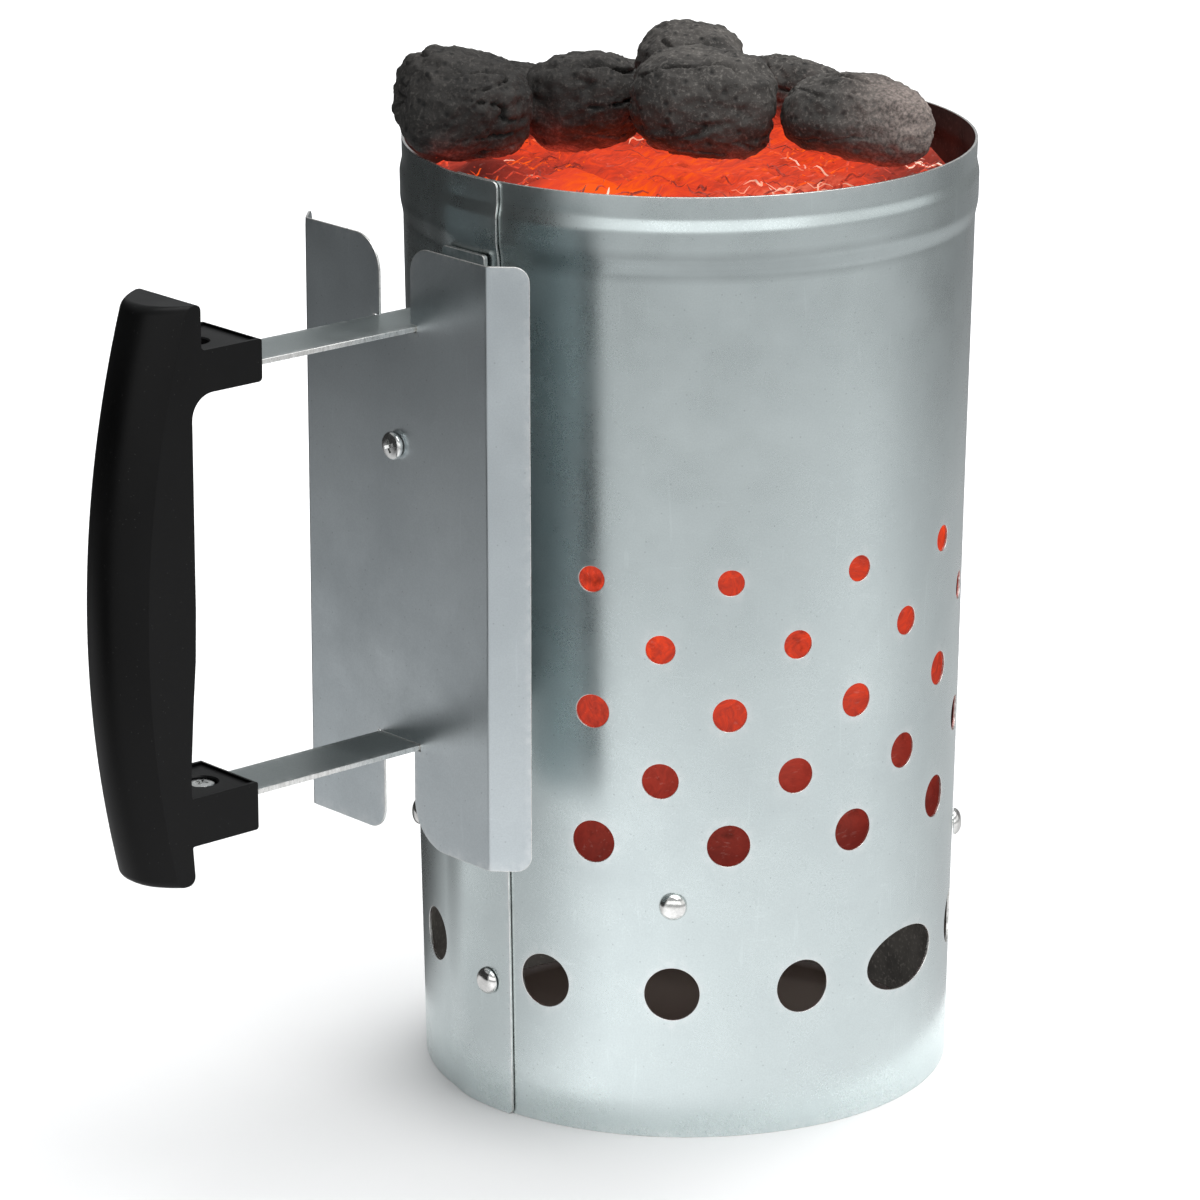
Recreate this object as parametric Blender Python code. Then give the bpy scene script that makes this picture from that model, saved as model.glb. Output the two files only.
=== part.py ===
"""Chimney charcoal starter.

A tapered cylinder is rolled from one galvanised sheet and closed by a lapped, riveted seam. A perforated grate
inside it carries the charcoal. Two flat straps hold a moulded grip, and a bent plate shields the hand.

Metres, +Z up, standing on z = 0. The handle points along -X. The origin is the middle of the footprint, so the
body's own axis stands at x = AXIS_X. Angles around the body start at the handle and run anticlockwise seen
from above.
"""

import math

import bmesh
import bpy
from mathutils import Matrix, Vector

# Fits
GAP = 0.0003                 # clearance between pieces that touch
BORE_RADIUS = 0.0023         # round rivet and screw shanks
THIN_DRILL = 0.006           # cutter lengths for single sheets and for the lapped wall
WALL_DRILL = 0.012
LONG_DRILL = 0.040

# Body sheet
BODY_HEIGHT = 0.2775
BASE_RADIUS = 0.0775         # outside, at the bottom edge
TAPER = 0.0178               # growth of the radius per metre of height
SHEET = 0.0008
COLUMN_STEP = math.radians(5.0)
LAP_START = math.radians(-4.8)     # free edge of the inner layer
LAP_END = math.radians(368.2)      # visible edge of the outer layer, one turn on
LAP_RAMP = math.radians(10.0)      # angle over which the outer layer steps out

# Bead under the rim: distances below the rim of its lower foot, crest, crest and upper foot
BEAD_HEIGHT = 0.0007
BEAD_BELOW_RIM = (0.0235, 0.0170, 0.0100, 0.0055)

# Vents
VENT_PITCH = math.radians(28.2)
VENT_TOP_ROW = 0.1669
VENT_ROW_SPACING = 0.0195
VENT_RADII = (0.0038, 0.0042, 0.0049, 0.0052, 0.0062)
VENTS_IN_LONG_ROW = 12
AIR_HOLE_HEIGHT = 0.0441
AIR_HOLE_RADIUS = 0.0079
AIR_HOLE_START = math.radians(16.6)
AIR_HOLES = 11
AIR_HOLE_BEHIND_SEAM = math.radians(-21.0)
LIGHTING_HOLE_INDEX = 3            # this air hole is a wide oval, to put a lighter in
LIGHTING_HOLE_HALF_WIDTH = 0.0158
LIGHTING_HOLE_HALF_HEIGHT = 0.0091

# Rivets and screws
SHANK_RADIUS = 0.0020
HEAD_RADIUS = 0.0040
HEAD_HEIGHT = 0.0024
TAIL_RADIUS = 0.0029
TAIL_HEIGHT = 0.0012
SEAM_RIVET_ANGLE = math.radians(1.8)
SEAM_RIVET_HEIGHTS = {"lower": 0.0395, "middle": 0.1790}
RECESS_DEPTH = 0.0012
RECESS_LENGTH = 0.0040
RECESS_WIDTH = 0.0009
SCREW_POINT = 0.0010         # tapered end of a screw
SHIELD_SCREW_HEAD_HEIGHT = 0.0024

# Grate
GRATE_TOP = 0.0760
GRATE_SHEET = 0.0008
GRATE_TAB_WIDTH = 0.0140
GRATE_TAB_DROP = 0.0120
GRATE_TAB_ROOT = 0.0060      # how far a tab runs into the disc
GRATE_CLEARANCE = 0.0009     # room for the sides of the flat tabs against the curved wall
GRATE_RIVET_HEIGHT = 0.0709
GRATE_RIVET_ANGLES = [math.radians(45 + 90 * quarter) for quarter in range(4)]
GRATE_HOLE_RADIUS = 0.0050
GRATE_HOLE_RINGS = ((0.0, 1), (0.0180, 6), (0.0360, 12), (0.0540, 18))

# Straps
STRAP_WIDTH = 0.0180
STRAP_THICKNESS = 0.0015
STRAP_TIP = 0.1880           # distance of the strap's end from the body axis
UPPER_STRAP_TOP = 0.2405
LOWER_STRAP_TOP = 0.1193
FOOT_LENGTH = 0.0160
FOOT_RIVET_SHARE = 0.58      # along the foot from the bend
STRAP_HEEL_RADIUS = 0.0022
STRAP_INSIDE_RADIUS = 0.0007

# Heat shield
SHIELD_FACE = 0.1097         # distance of the flat face from the body axis
SHIELD_SHEET = 0.0007
SHIELD_WIDTH = 0.0766
SHIELD_BOTTOM = 0.0898
SHIELD_TOP = 0.2629
FLANGE_WIDTH = 0.0125
FLANGE_ANGLE = math.radians(45.0)
FOLD_RADIUS = 0.0015
FLANGE_CORNER = 0.0040
NOTCH_WIDTH = 0.0132
NOTCH_CORNERS_TOP = (0.0100, 0.0075)       # ear on the far side, ear beside the seam edge
NOTCH_CORNERS_BOTTOM = (0.0065, 0.0130)
SHIELD_SCREW_HEIGHT = 0.2050
SPACER_RADIUS = 0.0040
NUT_WIDTH = 0.0070
NUT_THICKNESS = 0.0030
SCREW_PAST_NUT = 0.0008

# Grip
GRIP_WIDTH = 0.0250
GRIP_BOTTOM = 0.0983
GRIP_TOP = 0.2602
GRIP_INNER_AT_BOTTOM = 0.1919      # distances of the inner face from the body axis
GRIP_INNER_AT_TOP = 0.1864
GRIP_INNER_FACE = ((0.1927, 0.1300), (0.1914, 0.1500), (0.1901, 0.1680), (0.1899, 0.2200))  # with their heights
GRIP_END_REACH = (0.1978, 0.1908)  # side ridge at the bottom and top ends
GRIP_BOW = 0.0115            # how far the ridge bows out at mid height
CROWN_DEPTH = (0.0070, 0.0094)     # from the side ridge to the outermost line, bottom and top
CROWN_POWER = 2.4
CROWN_STEPS = 6              # across the grip
CROWN_ROWS = 14              # along it
GRIP_EDGE_ROUND = 0.0012
UPPER_STUB = (0.2356, 0.2475)      # bottom and top
LOWER_STUB = (0.1093, 0.1230)
UPPER_STUB_TIP = 0.1660            # distance of the stub's end from the body axis
LOWER_STUB_TIP = 0.1700
STUB_FILLET = 0.0070
STUB_ROUND = 0.0014
GRIP_END_ROUND = 0.0025
POCKET_TIP = 0.1886
HANDLE_SCREW_REACH = 0.1800
SCREW_WELL_RADIUS = 0.0046
UPPER_WELL_DEPTH = 0.0047          # from the stub's top to the screw's seat
LOWER_WELL_DEPTH = 0.0032
HANDLE_SCREW_HEAD_HEIGHT = 0.0020
HANDLE_SCREW_LENGTH = 0.0058
OVERCUT = 0.002                    # how far a cutter runs past a face that it opens

# Charcoal
LOAD_CLEARANCE = 0.0062      # from the wall, past rivet tails and the nut
LOAD_BOTTOM = 0.0765
LOAD_TOP = 0.2640
LOAD_EDGE = 0.004            # chamfer round the top of the bed
BRIQUETTE_POWER = 2.8        # 2 is an ellipsoid, more is squarer

# Briquettes on top: centre from the body axis, half sizes, tilt about X and Y, turn about Z (degrees)
BRIQUETTES = (
    ((-0.0605, 0.0281, 0.2902), (0.0198, 0.0185, 0.0152), (4, 14, -22)),
    ((-0.0194, 0.0238, 0.2860), (0.0178, 0.0185, 0.0142), (-10, 12, 35)),
    ((-0.0108, -0.0179, 0.2896), (0.0207, 0.0196, 0.0161), (-8, 6, -42)),
    ((0.0184, -0.0508, 0.2872), (0.0222, 0.0188, 0.0124), (-12, 8, -42)),
    ((0.0225, 0.0235, 0.2895), (0.0165, 0.0155, 0.0125), (0, 0, -40)),
    ((0.0500, -0.0120, 0.2760), (0.0180, 0.0165, 0.0100), (6, 8, 10)),
    ((-0.0150, 0.0605, 0.2782), (0.0180, 0.0160, 0.0115), (-8, 4, 15)),
    ((0.0270, 0.0556, 0.2766), (0.0185, 0.0160, 0.0108), (6, 6, -20)),
    ((0.0606, 0.0228, 0.2766), (0.0148, 0.0170, 0.0106), (4, 10, 10)),
)

# The bead's crest and the grip's crown are the two ends of the footprint.
BEAD_RADIUS = BASE_RADIUS + TAPER * (BODY_HEIGHT - BEAD_BELOW_RIM[2]) + BEAD_HEIGHT
GRIP_REACH = sum(GRIP_END_REACH) / 2 + GRIP_BOW + sum(CROWN_DEPTH) / 2
AXIS_X = (GRIP_REACH - BEAD_RADIUS) / 2

# Colour, metallic and roughness of each material
FINISHES = {
    "galvanised_sheet": ((0.60, 0.63, 0.63), 0.9, 0.38),
    "galvanised_shield": ((0.55, 0.58, 0.60), 0.9, 0.42),
    "strap_steel": ((0.58, 0.61, 0.60), 0.9, 0.45),
    "rivet_steel": ((0.78, 0.79, 0.78), 1.0, 0.22),
    "screw_steel": ((0.72, 0.72, 0.70), 1.0, 0.25),
    "grate_steel": ((0.35, 0.35, 0.34), 0.9, 0.55),
    "moulded_black": ((0.012, 0.012, 0.013), 0.0, 0.42),
    "charcoal": ((0.030, 0.029, 0.028), 0.0, 0.90),
    "ember": ((0.75, 0.12, 0.03), 0.0, 0.80),
}


# Scene helpers


def clear_scene():
    for item in list(bpy.data.objects):
        bpy.data.objects.remove(item, do_unlink=True)


def make_material(name):
    colour, metallic, roughness = FINISHES[name]
    material = bpy.data.materials.new(name)
    material.use_nodes = True
    shader = material.node_tree.nodes["Principled BSDF"]
    shader.inputs["Base Color"].default_value = (*colour, 1.0)
    shader.inputs["Metallic"].default_value = metallic
    shader.inputs["Roughness"].default_value = roughness
    return material


def material_for(name):
    return bpy.data.materials.get(name) or make_material(name)


def finish_mesh(name, bm, smooth_angle=None):
    """Turns the bmesh into a mesh with outward faces, shaded smooth up to smooth_angle."""
    bmesh.ops.recalc_face_normals(bm, faces=bm.faces)
    mesh = bpy.data.meshes.new(name)
    bm.to_mesh(mesh)
    bm.free()
    if smooth_angle is not None:
        mesh.shade_smooth()
        mesh.set_sharp_from_angle(angle=math.radians(smooth_angle))
    return mesh


def add_piece(name, mesh, finish, parent):
    piece = bpy.data.objects.new(name, mesh)
    if not mesh.materials:
        mesh.materials.append(material_for(finish))
    bpy.context.collection.objects.link(piece)
    piece.parent = parent
    return piece


def add_cutter(name, bm, parent):
    cutter = bpy.data.objects.new(name, finish_mesh(name, bm))
    bpy.context.collection.objects.link(cutter)
    cutter.parent = parent
    cutter.hide_render = True
    cutter.display_type = "WIRE"
    return cutter


def cut(piece, cutter):
    modifier = piece.modifiers.new(cutter.name, "BOOLEAN")
    modifier.operation = "DIFFERENCE"
    modifier.solver = "EXACT"
    modifier.object = cutter


# Geometry helpers


def wall_radius(height):
    """Outer radius of the sheet, without the lap and the bead."""
    return BASE_RADIUS + TAPER * height


def around(radius, angle, height):
    """Point at a radius and angle about the body axis."""
    return Vector((-radius * math.cos(angle), -radius * math.sin(angle), height))


def facing_out(angle, radius, height):
    """Placement whose +Z points away from the body axis."""
    turn = Matrix.Rotation(math.pi + angle, 4, "Z") @ Matrix.Rotation(math.pi / 2, 4, "Y")
    return Matrix.Translation(around(radius, angle, height)) @ turn


def lap_shift(angle):
    """How far the sheet stands out at an angle: its last stretch climbs over its own start."""
    over_start = LAP_START + math.tau
    share = min(max((angle - (over_start - LAP_RAMP)) / LAP_RAMP, 0.0), 1.0)
    return (SHEET + GAP) * share


def blend(ends, share):
    return ends[0] + (ends[1] - ends[0]) * share


def lap_surface(height):
    """Outer radius over the lapped seam, where the straps and the shield are fixed."""
    return wall_radius(height) + SHEET + GAP


def rounded_outline(corners, steps=4):
    """Closed 2-D outline from (x, y, corner radius) in order."""
    outline = []
    for index, (x, y, radius) in enumerate(corners):
        corner = Vector((x, y))
        if radius == 0:
            outline.append(corner)
            continue
        back = (Vector(corners[index - 1][:2]) - corner).normalized()
        ahead = (Vector(corners[(index + 1) % len(corners)][:2]) - corner).normalized()
        half = math.acos(max(-1.0, min(1.0, back.dot(ahead)))) / 2
        centre = corner + (back + ahead).normalized() * radius / math.sin(half)
        first = corner + back * radius / math.tan(half) - centre
        last = corner + ahead * radius / math.tan(half) - centre
        sweep = first.angle_signed(last)
        for step in range(steps + 1):
            outline.append(centre + Matrix.Rotation(-sweep * step / steps, 2) @ first)
    return outline


def extrude_outline(outline, low, high, place):
    """Prism over a 2-D outline, where place(x, y, depth) gives the 3-D point."""
    bm = bmesh.new()
    near = [bm.verts.new(place(x, y, low)) for x, y in outline]
    far = [bm.verts.new(place(x, y, high)) for x, y in outline]
    bm.faces.new(near)
    bm.faces.new(reversed(far))
    for index in range(len(outline)):
        after = (index + 1) % len(outline)
        bm.faces.new((near[index], far[index], far[after], near[after]))
    return bm


def side_view(reach, height, across):
    """Point of a side-view outline: reach runs out along the handle, across runs over its width."""
    return Vector((-reach, -across, height))


def revolve(profile, segments):
    """Closed solid from (radius, z) points that start and end on the Z axis."""
    bm = bmesh.new()
    first = bm.verts.new((0, 0, profile[0][1]))
    last = bm.verts.new((0, 0, profile[-1][1]))
    rings = []
    for radius, z in profile[1:-1]:
        angles = [math.tau * index / segments for index in range(segments)]
        rings.append([bm.verts.new((radius * math.cos(a), radius * math.sin(a), z)) for a in angles])
    for index in range(segments):
        after = (index + 1) % segments
        bm.faces.new((first, rings[0][index], rings[0][after]))
        for upper, lower in zip(rings, rings[1:]):
            bm.faces.new((upper[index], lower[index], lower[after], upper[after]))
        bm.faces.new((rings[-1][after], rings[-1][index], last))
    return bm


def add_drill(bm, placement, radius, depth, segments):
    """Adds a round cutter centred on a placement, along its Z."""
    bmesh.ops.create_cone(bm, cap_ends=True, segments=segments, radius1=radius, radius2=radius,
                          depth=depth, matrix=placement)


def add_box(bm, centre, size):
    bmesh.ops.create_cube(bm, size=1, matrix=Matrix.Translation(centre) @ Matrix.Diagonal((*size, 1)))


# Body


def shell_profile():
    """(height, how far the bead stands out) from the bottom edge to the rim."""
    offsets = (0.0, BEAD_HEIGHT, BEAD_HEIGHT, 0.0)
    bead = [(BODY_HEIGHT - below, offset) for below, offset in zip(BEAD_BELOW_RIM, offsets)]
    return [(0.0, 0.0), *bead, (BODY_HEIGHT, 0.0)]


def shell_columns():
    count = int((LAP_END - LAP_START) / COLUMN_STEP)
    return [LAP_START + COLUMN_STEP * index for index in range(count + 1)] + [LAP_END]


def shell_grid(bm, inset):
    """Grid of vertices over the sheet's outer face, moved in by inset."""
    columns = []
    for angle in shell_columns():
        shift = lap_shift(angle) - inset
        points = [around(wall_radius(z) + bead + shift, angle, z) for z, bead in shell_profile()]
        columns.append([bm.verts.new(point) for point in points])
    return columns


def build_shell_mesh():
    bm = bmesh.new()
    outer = shell_grid(bm, 0.0)
    inner = shell_grid(bm, SHEET)
    for a, b, c, d in zip(outer, outer[1:], inner, inner[1:]):
        for level in range(len(a) - 1):
            bm.faces.new((a[level], b[level], b[level + 1], a[level + 1]))
            bm.faces.new((d[level], c[level], c[level + 1], d[level + 1]))
        bm.faces.new((a[0], c[0], d[0], b[0]))
        bm.faces.new((a[-1], b[-1], d[-1], c[-1]))
    for a, c in ((outer[0], inner[0]), (inner[-1], outer[-1])):
        for level in range(len(a) - 1):
            bm.faces.new((a[level], a[level + 1], c[level + 1], c[level]))
    return finish_mesh("outer_shell", bm, 30)


def vent_holes():
    """(angle, height, half width, half height) of every air hole."""
    for row, radius in enumerate(VENT_RADII):
        stagger = (row % 2) / 2
        for index in range(VENTS_IN_LONG_ROW - row % 2):
            yield VENT_PITCH * (index + 1 + stagger), VENT_TOP_ROW - VENT_ROW_SPACING * row, radius, radius
    for index in range(AIR_HOLES):
        angle = AIR_HOLE_START + VENT_PITCH * index
        if index == LIGHTING_HOLE_INDEX:
            yield angle, AIR_HOLE_HEIGHT, LIGHTING_HOLE_HALF_WIDTH, LIGHTING_HOLE_HALF_HEIGHT
        else:
            yield angle, AIR_HOLE_HEIGHT, AIR_HOLE_RADIUS, AIR_HOLE_RADIUS
    yield AIR_HOLE_BEHIND_SEAM, AIR_HOLE_HEIGHT, AIR_HOLE_RADIUS, AIR_HOLE_RADIUS


def foot_rivet_heights():
    middle = FOOT_LENGTH * FOOT_RIVET_SHARE
    return {"upper": UPPER_STRAP_TOP + middle, "lower": LOWER_STRAP_TOP - STRAP_THICKNESS - middle}


def fixing_holes():
    """(angle, height) of every rivet or screw through the wall."""
    for height in SEAM_RIVET_HEIGHTS.values():
        yield SEAM_RIVET_ANGLE, height
    for angle in GRATE_RIVET_ANGLES:
        yield angle, GRATE_RIVET_HEIGHT
    for height in foot_rivet_heights().values():
        yield 0.0, height
    yield 0.0, SHIELD_SCREW_HEIGHT


def build_shell(parent):
    shell = add_piece("outer_shell", build_shell_mesh(), "galvanised_sheet", parent)
    bm = bmesh.new()
    for angle, height, half_width, half_height in vent_holes():
        segments = 12 if half_height < AIR_HOLE_RADIUS else 16
        oval = Matrix.Diagonal((half_height, half_width, 1, 1))
        add_drill(bm, facing_out(angle, wall_radius(height), height) @ oval, 1.0, WALL_DRILL, segments)
    for angle, height in fixing_holes():
        placement = facing_out(angle, wall_radius(height), height)
        add_drill(bm, placement, BORE_RADIUS, WALL_DRILL, 12)
    cut(shell, add_cutter("shell_holes", bm, parent))


# Fasteners


def dome(radius, height, steps):
    angles = [math.pi / 2 * (1 - step / steps) for step in range(steps + 1)]
    return [(radius * math.cos(angle), height * math.sin(angle)) for angle in angles]


def rivet_mesh(name, length):
    """Rivet along Z: the domed head sits on z = 0, the tail starts at -length."""
    profile = dome(HEAD_RADIUS, HEAD_HEIGHT, 3)
    profile += [(SHANK_RADIUS, 0.0), (SHANK_RADIUS, -length), (TAIL_RADIUS, -length)]
    profile += [(TAIL_RADIUS, -length - TAIL_HEIGHT), (0.0, -length - TAIL_HEIGHT)]
    return finish_mesh(name, revolve(profile, 12), 35)


def add_rivet(name, mesh, angle, radius, height, parent):
    rivet = add_piece(name, mesh, "rivet_steel", parent)
    rivet.matrix_local = facing_out(angle, radius, height)


def build_seam_rivets(parent):
    length = 2 * SHEET + 3 * GAP
    mesh = rivet_mesh("seam_rivet", length)
    for name, height in SEAM_RIVET_HEIGHTS.items():
        seat = lap_surface(height) + GAP
        add_rivet(f"seam_rivet_{name}", mesh, SEAM_RIVET_ANGLE, seat, height, parent)


def foot_face(strap_top, upward):
    """Distance of a strap foot's wall side from the body axis, clear of the tapered wall."""
    highest = strap_top + FOOT_LENGTH if upward else strap_top
    return lap_surface(highest) + GAP


def build_foot_rivets(parent):
    tops = {"upper": (UPPER_STRAP_TOP, True), "lower": (LOWER_STRAP_TOP, False)}
    for name, height in foot_rivet_heights().items():
        seat = foot_face(*tops[name]) + STRAP_THICKNESS + GAP
        inside = wall_radius(height) - SHEET - GAP
        mesh = rivet_mesh(f"{name}_foot_rivet", seat - inside)
        add_rivet(f"{name}_foot_rivet", mesh, 0.0, seat, height, parent)


def screw_mesh(name, head_height, length):
    """Pan-head screw along Z: the head sits on z = 0, the shank ends at -length."""
    edge = head_height * 0.45
    profile = [(0.0, head_height), (HEAD_RADIUS * 0.62, head_height), (HEAD_RADIUS * 0.92, head_height * 0.78)]
    profile += [(HEAD_RADIUS, edge), (HEAD_RADIUS, 0.0), (SHANK_RADIUS, 0.0)]
    profile += [(SHANK_RADIUS, -length + SCREW_POINT), (SHANK_RADIUS * 0.6, -length), (0.0, -length)]
    return finish_mesh(name, revolve(profile, 16), 30)


def cross_outline(length, width):
    """Plus-shaped outline of a cross recess."""
    long, short = length / 2, width / 2
    arm = [Vector((long, -short)), Vector((long, short)), Vector((short, short))]
    return [Matrix.Rotation(math.pi / 2 * quarter, 2) @ point for quarter in range(4) for point in arm]


def add_screw(name, placement, head_height, length, parent):
    screw = add_piece(name, screw_mesh(name, head_height, length), "screw_steel", parent)
    screw.matrix_local = placement
    floor = head_height - RECESS_DEPTH
    outline = cross_outline(RECESS_LENGTH, RECESS_WIDTH)
    recess = extrude_outline(outline, floor, head_height + RECESS_DEPTH, lambda x, y, z: Vector((x, y, z)))
    cut(screw, add_cutter(f"{name}_recess", recess, screw))


# Grate


def grate_radius():
    return wall_radius(GRATE_TOP) - SHEET - GRATE_CLEARANCE


def build_grate(parent):
    radius = grate_radius()
    middle = GRATE_TOP - GRATE_SHEET / 2
    bm = bmesh.new()
    add_drill(bm, Matrix.Translation((0, 0, middle)), radius, GRATE_SHEET, 48)
    grate = add_piece("charcoal_grate", finish_mesh("charcoal_grate", bm), "grate_steel", parent)
    for number, angle in enumerate(GRATE_RIVET_ANGLES, 1):
        add_grate_tab(grate, number, angle, radius, parent)
    bm = bmesh.new()
    for ring_radius, count in GRATE_HOLE_RINGS:
        for index in range(count):
            place = Matrix.Translation(around(ring_radius, math.tau * index / count, middle))
            add_drill(bm, place, GRATE_HOLE_RADIUS, THIN_DRILL, 10)
    for angle in GRATE_RIVET_ANGLES:
        placement = facing_out(angle, radius, GRATE_RIVET_HEIGHT)
        add_drill(bm, placement, BORE_RADIUS, THIN_DRILL, 12)
    cut(grate, add_cutter("grate_holes", bm, parent))


def add_grate_tab(grate, number, angle, radius, parent):
    """L-shaped tab: a short flat root inside the disc, and the leg that is riveted to the wall."""
    top = GRATE_TOP - GRATE_SHEET * 0.05
    bottom = GRATE_TOP - GRATE_TAB_DROP
    root = radius - GRATE_TAB_ROOT
    inner = radius - GRATE_SHEET
    sheet_under = GRATE_TOP - GRATE_SHEET * 0.95
    outline = [(root, sheet_under), (inner, sheet_under), (inner, bottom), (radius, bottom), (radius, top),
               (root, top)]
    half = GRATE_TAB_WIDTH / 2
    bm = extrude_outline(outline, -half, half, side_view)
    bmesh.ops.rotate(bm, verts=bm.verts, cent=(0, 0, 0), matrix=Matrix.Rotation(angle, 3, "Z"))
    tab = add_cutter(f"grate_tab_{number}", bm, parent)
    modifier = grate.modifiers.new(tab.name, "BOOLEAN")
    modifier.operation = "UNION"
    modifier.solver = "EXACT"
    modifier.object = tab


def build_grate_rivets(parent):
    seat = wall_radius(GRATE_RIVET_HEIGHT) + GAP
    tab_inside = grate_radius() - GRATE_SHEET - GAP
    mesh = rivet_mesh("grate_rivet", seat - tab_inside)
    for number, angle in enumerate(GRATE_RIVET_ANGLES, 1):
        add_rivet(f"grate_rivet_{number}", mesh, angle, seat, GRATE_RIVET_HEIGHT, parent)


# Straps


def strap_outline(top, upward):
    """Side view of a strap with its foot bent up or down along the wall."""
    bottom = top - STRAP_THICKNESS
    wall_side = foot_face(top, upward)
    outer_side = wall_side + STRAP_THICKNESS
    foot_end = top + FOOT_LENGTH if upward else bottom - FOOT_LENGTH
    heel, inside = (bottom, top) if upward else (top, bottom)
    corners = [(STRAP_TIP, heel, 0), (wall_side, heel, STRAP_HEEL_RADIUS), (wall_side, foot_end, 0),
               (outer_side, foot_end, 0), (outer_side, inside, STRAP_INSIDE_RADIUS), (STRAP_TIP, inside, 0)]
    return rounded_outline(corners)


def build_strap(name, top, upward, rivet_height, parent):
    half = STRAP_WIDTH / 2
    bm = extrude_outline(strap_outline(top, upward), -half, half, side_view)
    strap = add_piece(name, finish_mesh(name, bm, 30), "strap_steel", parent)
    bm = bmesh.new()
    add_drill(bm, Matrix.Translation((-HANDLE_SCREW_REACH, 0, top)), BORE_RADIUS, THIN_DRILL, 12)
    add_drill(bm, facing_out(0.0, foot_face(top, upward), rivet_height), BORE_RADIUS, THIN_DRILL, 12)
    cut(strap, add_cutter(f"{name}_holes", bm, parent))


# Heat shield


def shield_outline():
    """Flat pattern (across, height), with an open notch and a cross slot for each strap."""
    edge = SHIELD_WIDTH / 2 + FLANGE_WIDTH
    notch = NOTCH_WIDTH / 2
    slot = STRAP_WIDTH / 2 + GAP
    upper_slot = (UPPER_STRAP_TOP - STRAP_THICKNESS - GAP, UPPER_STRAP_TOP + GAP)
    lower_slot = (LOWER_STRAP_TOP + GAP, LOWER_STRAP_TOP - STRAP_THICKNESS - GAP)
    corners = [(-edge, SHIELD_TOP, FLANGE_CORNER)]
    corners += notch_corners(-1, notch, slot, upper_slot, SHIELD_TOP, NOTCH_CORNERS_TOP)
    corners += [(edge, SHIELD_TOP, FLANGE_CORNER), (edge, SHIELD_BOTTOM, FLANGE_CORNER)]
    corners += notch_corners(1, notch, slot, lower_slot, SHIELD_BOTTOM, reversed(NOTCH_CORNERS_BOTTOM))
    corners += [(-edge, SHIELD_BOTTOM, FLANGE_CORNER)]
    return rounded_outline(corners)


def notch_corners(side, notch, slot, slot_heights, edge_height, radii):
    """Corners of one notch, starting on the given side: -1 is the far side."""
    first, last = radii
    floor, ceiling = slot_heights
    return [(side * notch, edge_height, first), (side * notch, ceiling, 0), (side * slot, ceiling, 0),
            (side * slot, floor, 0), (-side * slot, floor, 0), (-side * slot, ceiling, 0),
            (-side * notch, ceiling, 0), (-side * notch, edge_height, last)]


def fold(across):
    """Maps the flat pattern onto the web, the fold arc and the flange: (reach, across)."""
    side = math.copysign(1.0, across)
    past = abs(across) - SHIELD_WIDTH / 2
    if past <= 0:
        return SHIELD_FACE, across
    arc = min(past, FOLD_RADIUS * FLANGE_ANGLE)
    turned = arc / FOLD_RADIUS
    straight = past - arc
    drop = FOLD_RADIUS * (1 - math.cos(turned)) + straight * math.sin(turned)
    run = FOLD_RADIUS * math.sin(turned) + straight * math.cos(turned)
    return SHIELD_FACE - drop, side * (SHIELD_WIDTH / 2 + run)


def build_shield(parent):
    bm = bmesh.new()
    bm.faces.new([bm.verts.new((across, 0, height)) for across, height in shield_outline()])
    arc = FOLD_RADIUS * FLANGE_ANGLE
    for side in (-1, 1):
        for line in (0.0, arc / 3, arc * 2 / 3, arc):
            cut_at = side * (SHIELD_WIDTH / 2 + line)
            geometry = [*bm.verts, *bm.edges, *bm.faces]
            bmesh.ops.bisect_plane(bm, geom=geometry, dist=1e-7, plane_co=(cut_at, 0, 0), plane_no=(1, 0, 0))
    for vertex in bm.verts:
        reach, across = fold(vertex.co.x)
        vertex.co = side_view(reach, vertex.co.z, across)
    shield = add_piece("heat_shield", finish_open_sheet("heat_shield", bm), "galvanised_shield", parent)
    solid = shield.modifiers.new("sheet", "SOLIDIFY")
    solid.thickness = SHIELD_SHEET
    solid.offset = -1.0
    solid.use_even_offset = True
    bm = bmesh.new()
    placement = facing_out(0.0, SHIELD_FACE, SHIELD_SCREW_HEIGHT)
    add_drill(bm, placement, BORE_RADIUS, THIN_DRILL, 12)
    cut(shield, add_cutter("shield_hole", bm, parent))


def finish_open_sheet(name, bm):
    """Keeps the face directions of an open sheet: every face looks away from the body."""
    bm.normal_update()
    for face in bm.faces:
        if face.normal.x > 0:
            face.normal_flip()
    mesh = bpy.data.meshes.new(name)
    bm.to_mesh(mesh)
    bm.free()
    mesh.shade_smooth()
    mesh.set_sharp_from_angle(angle=math.radians(30))
    return mesh


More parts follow.
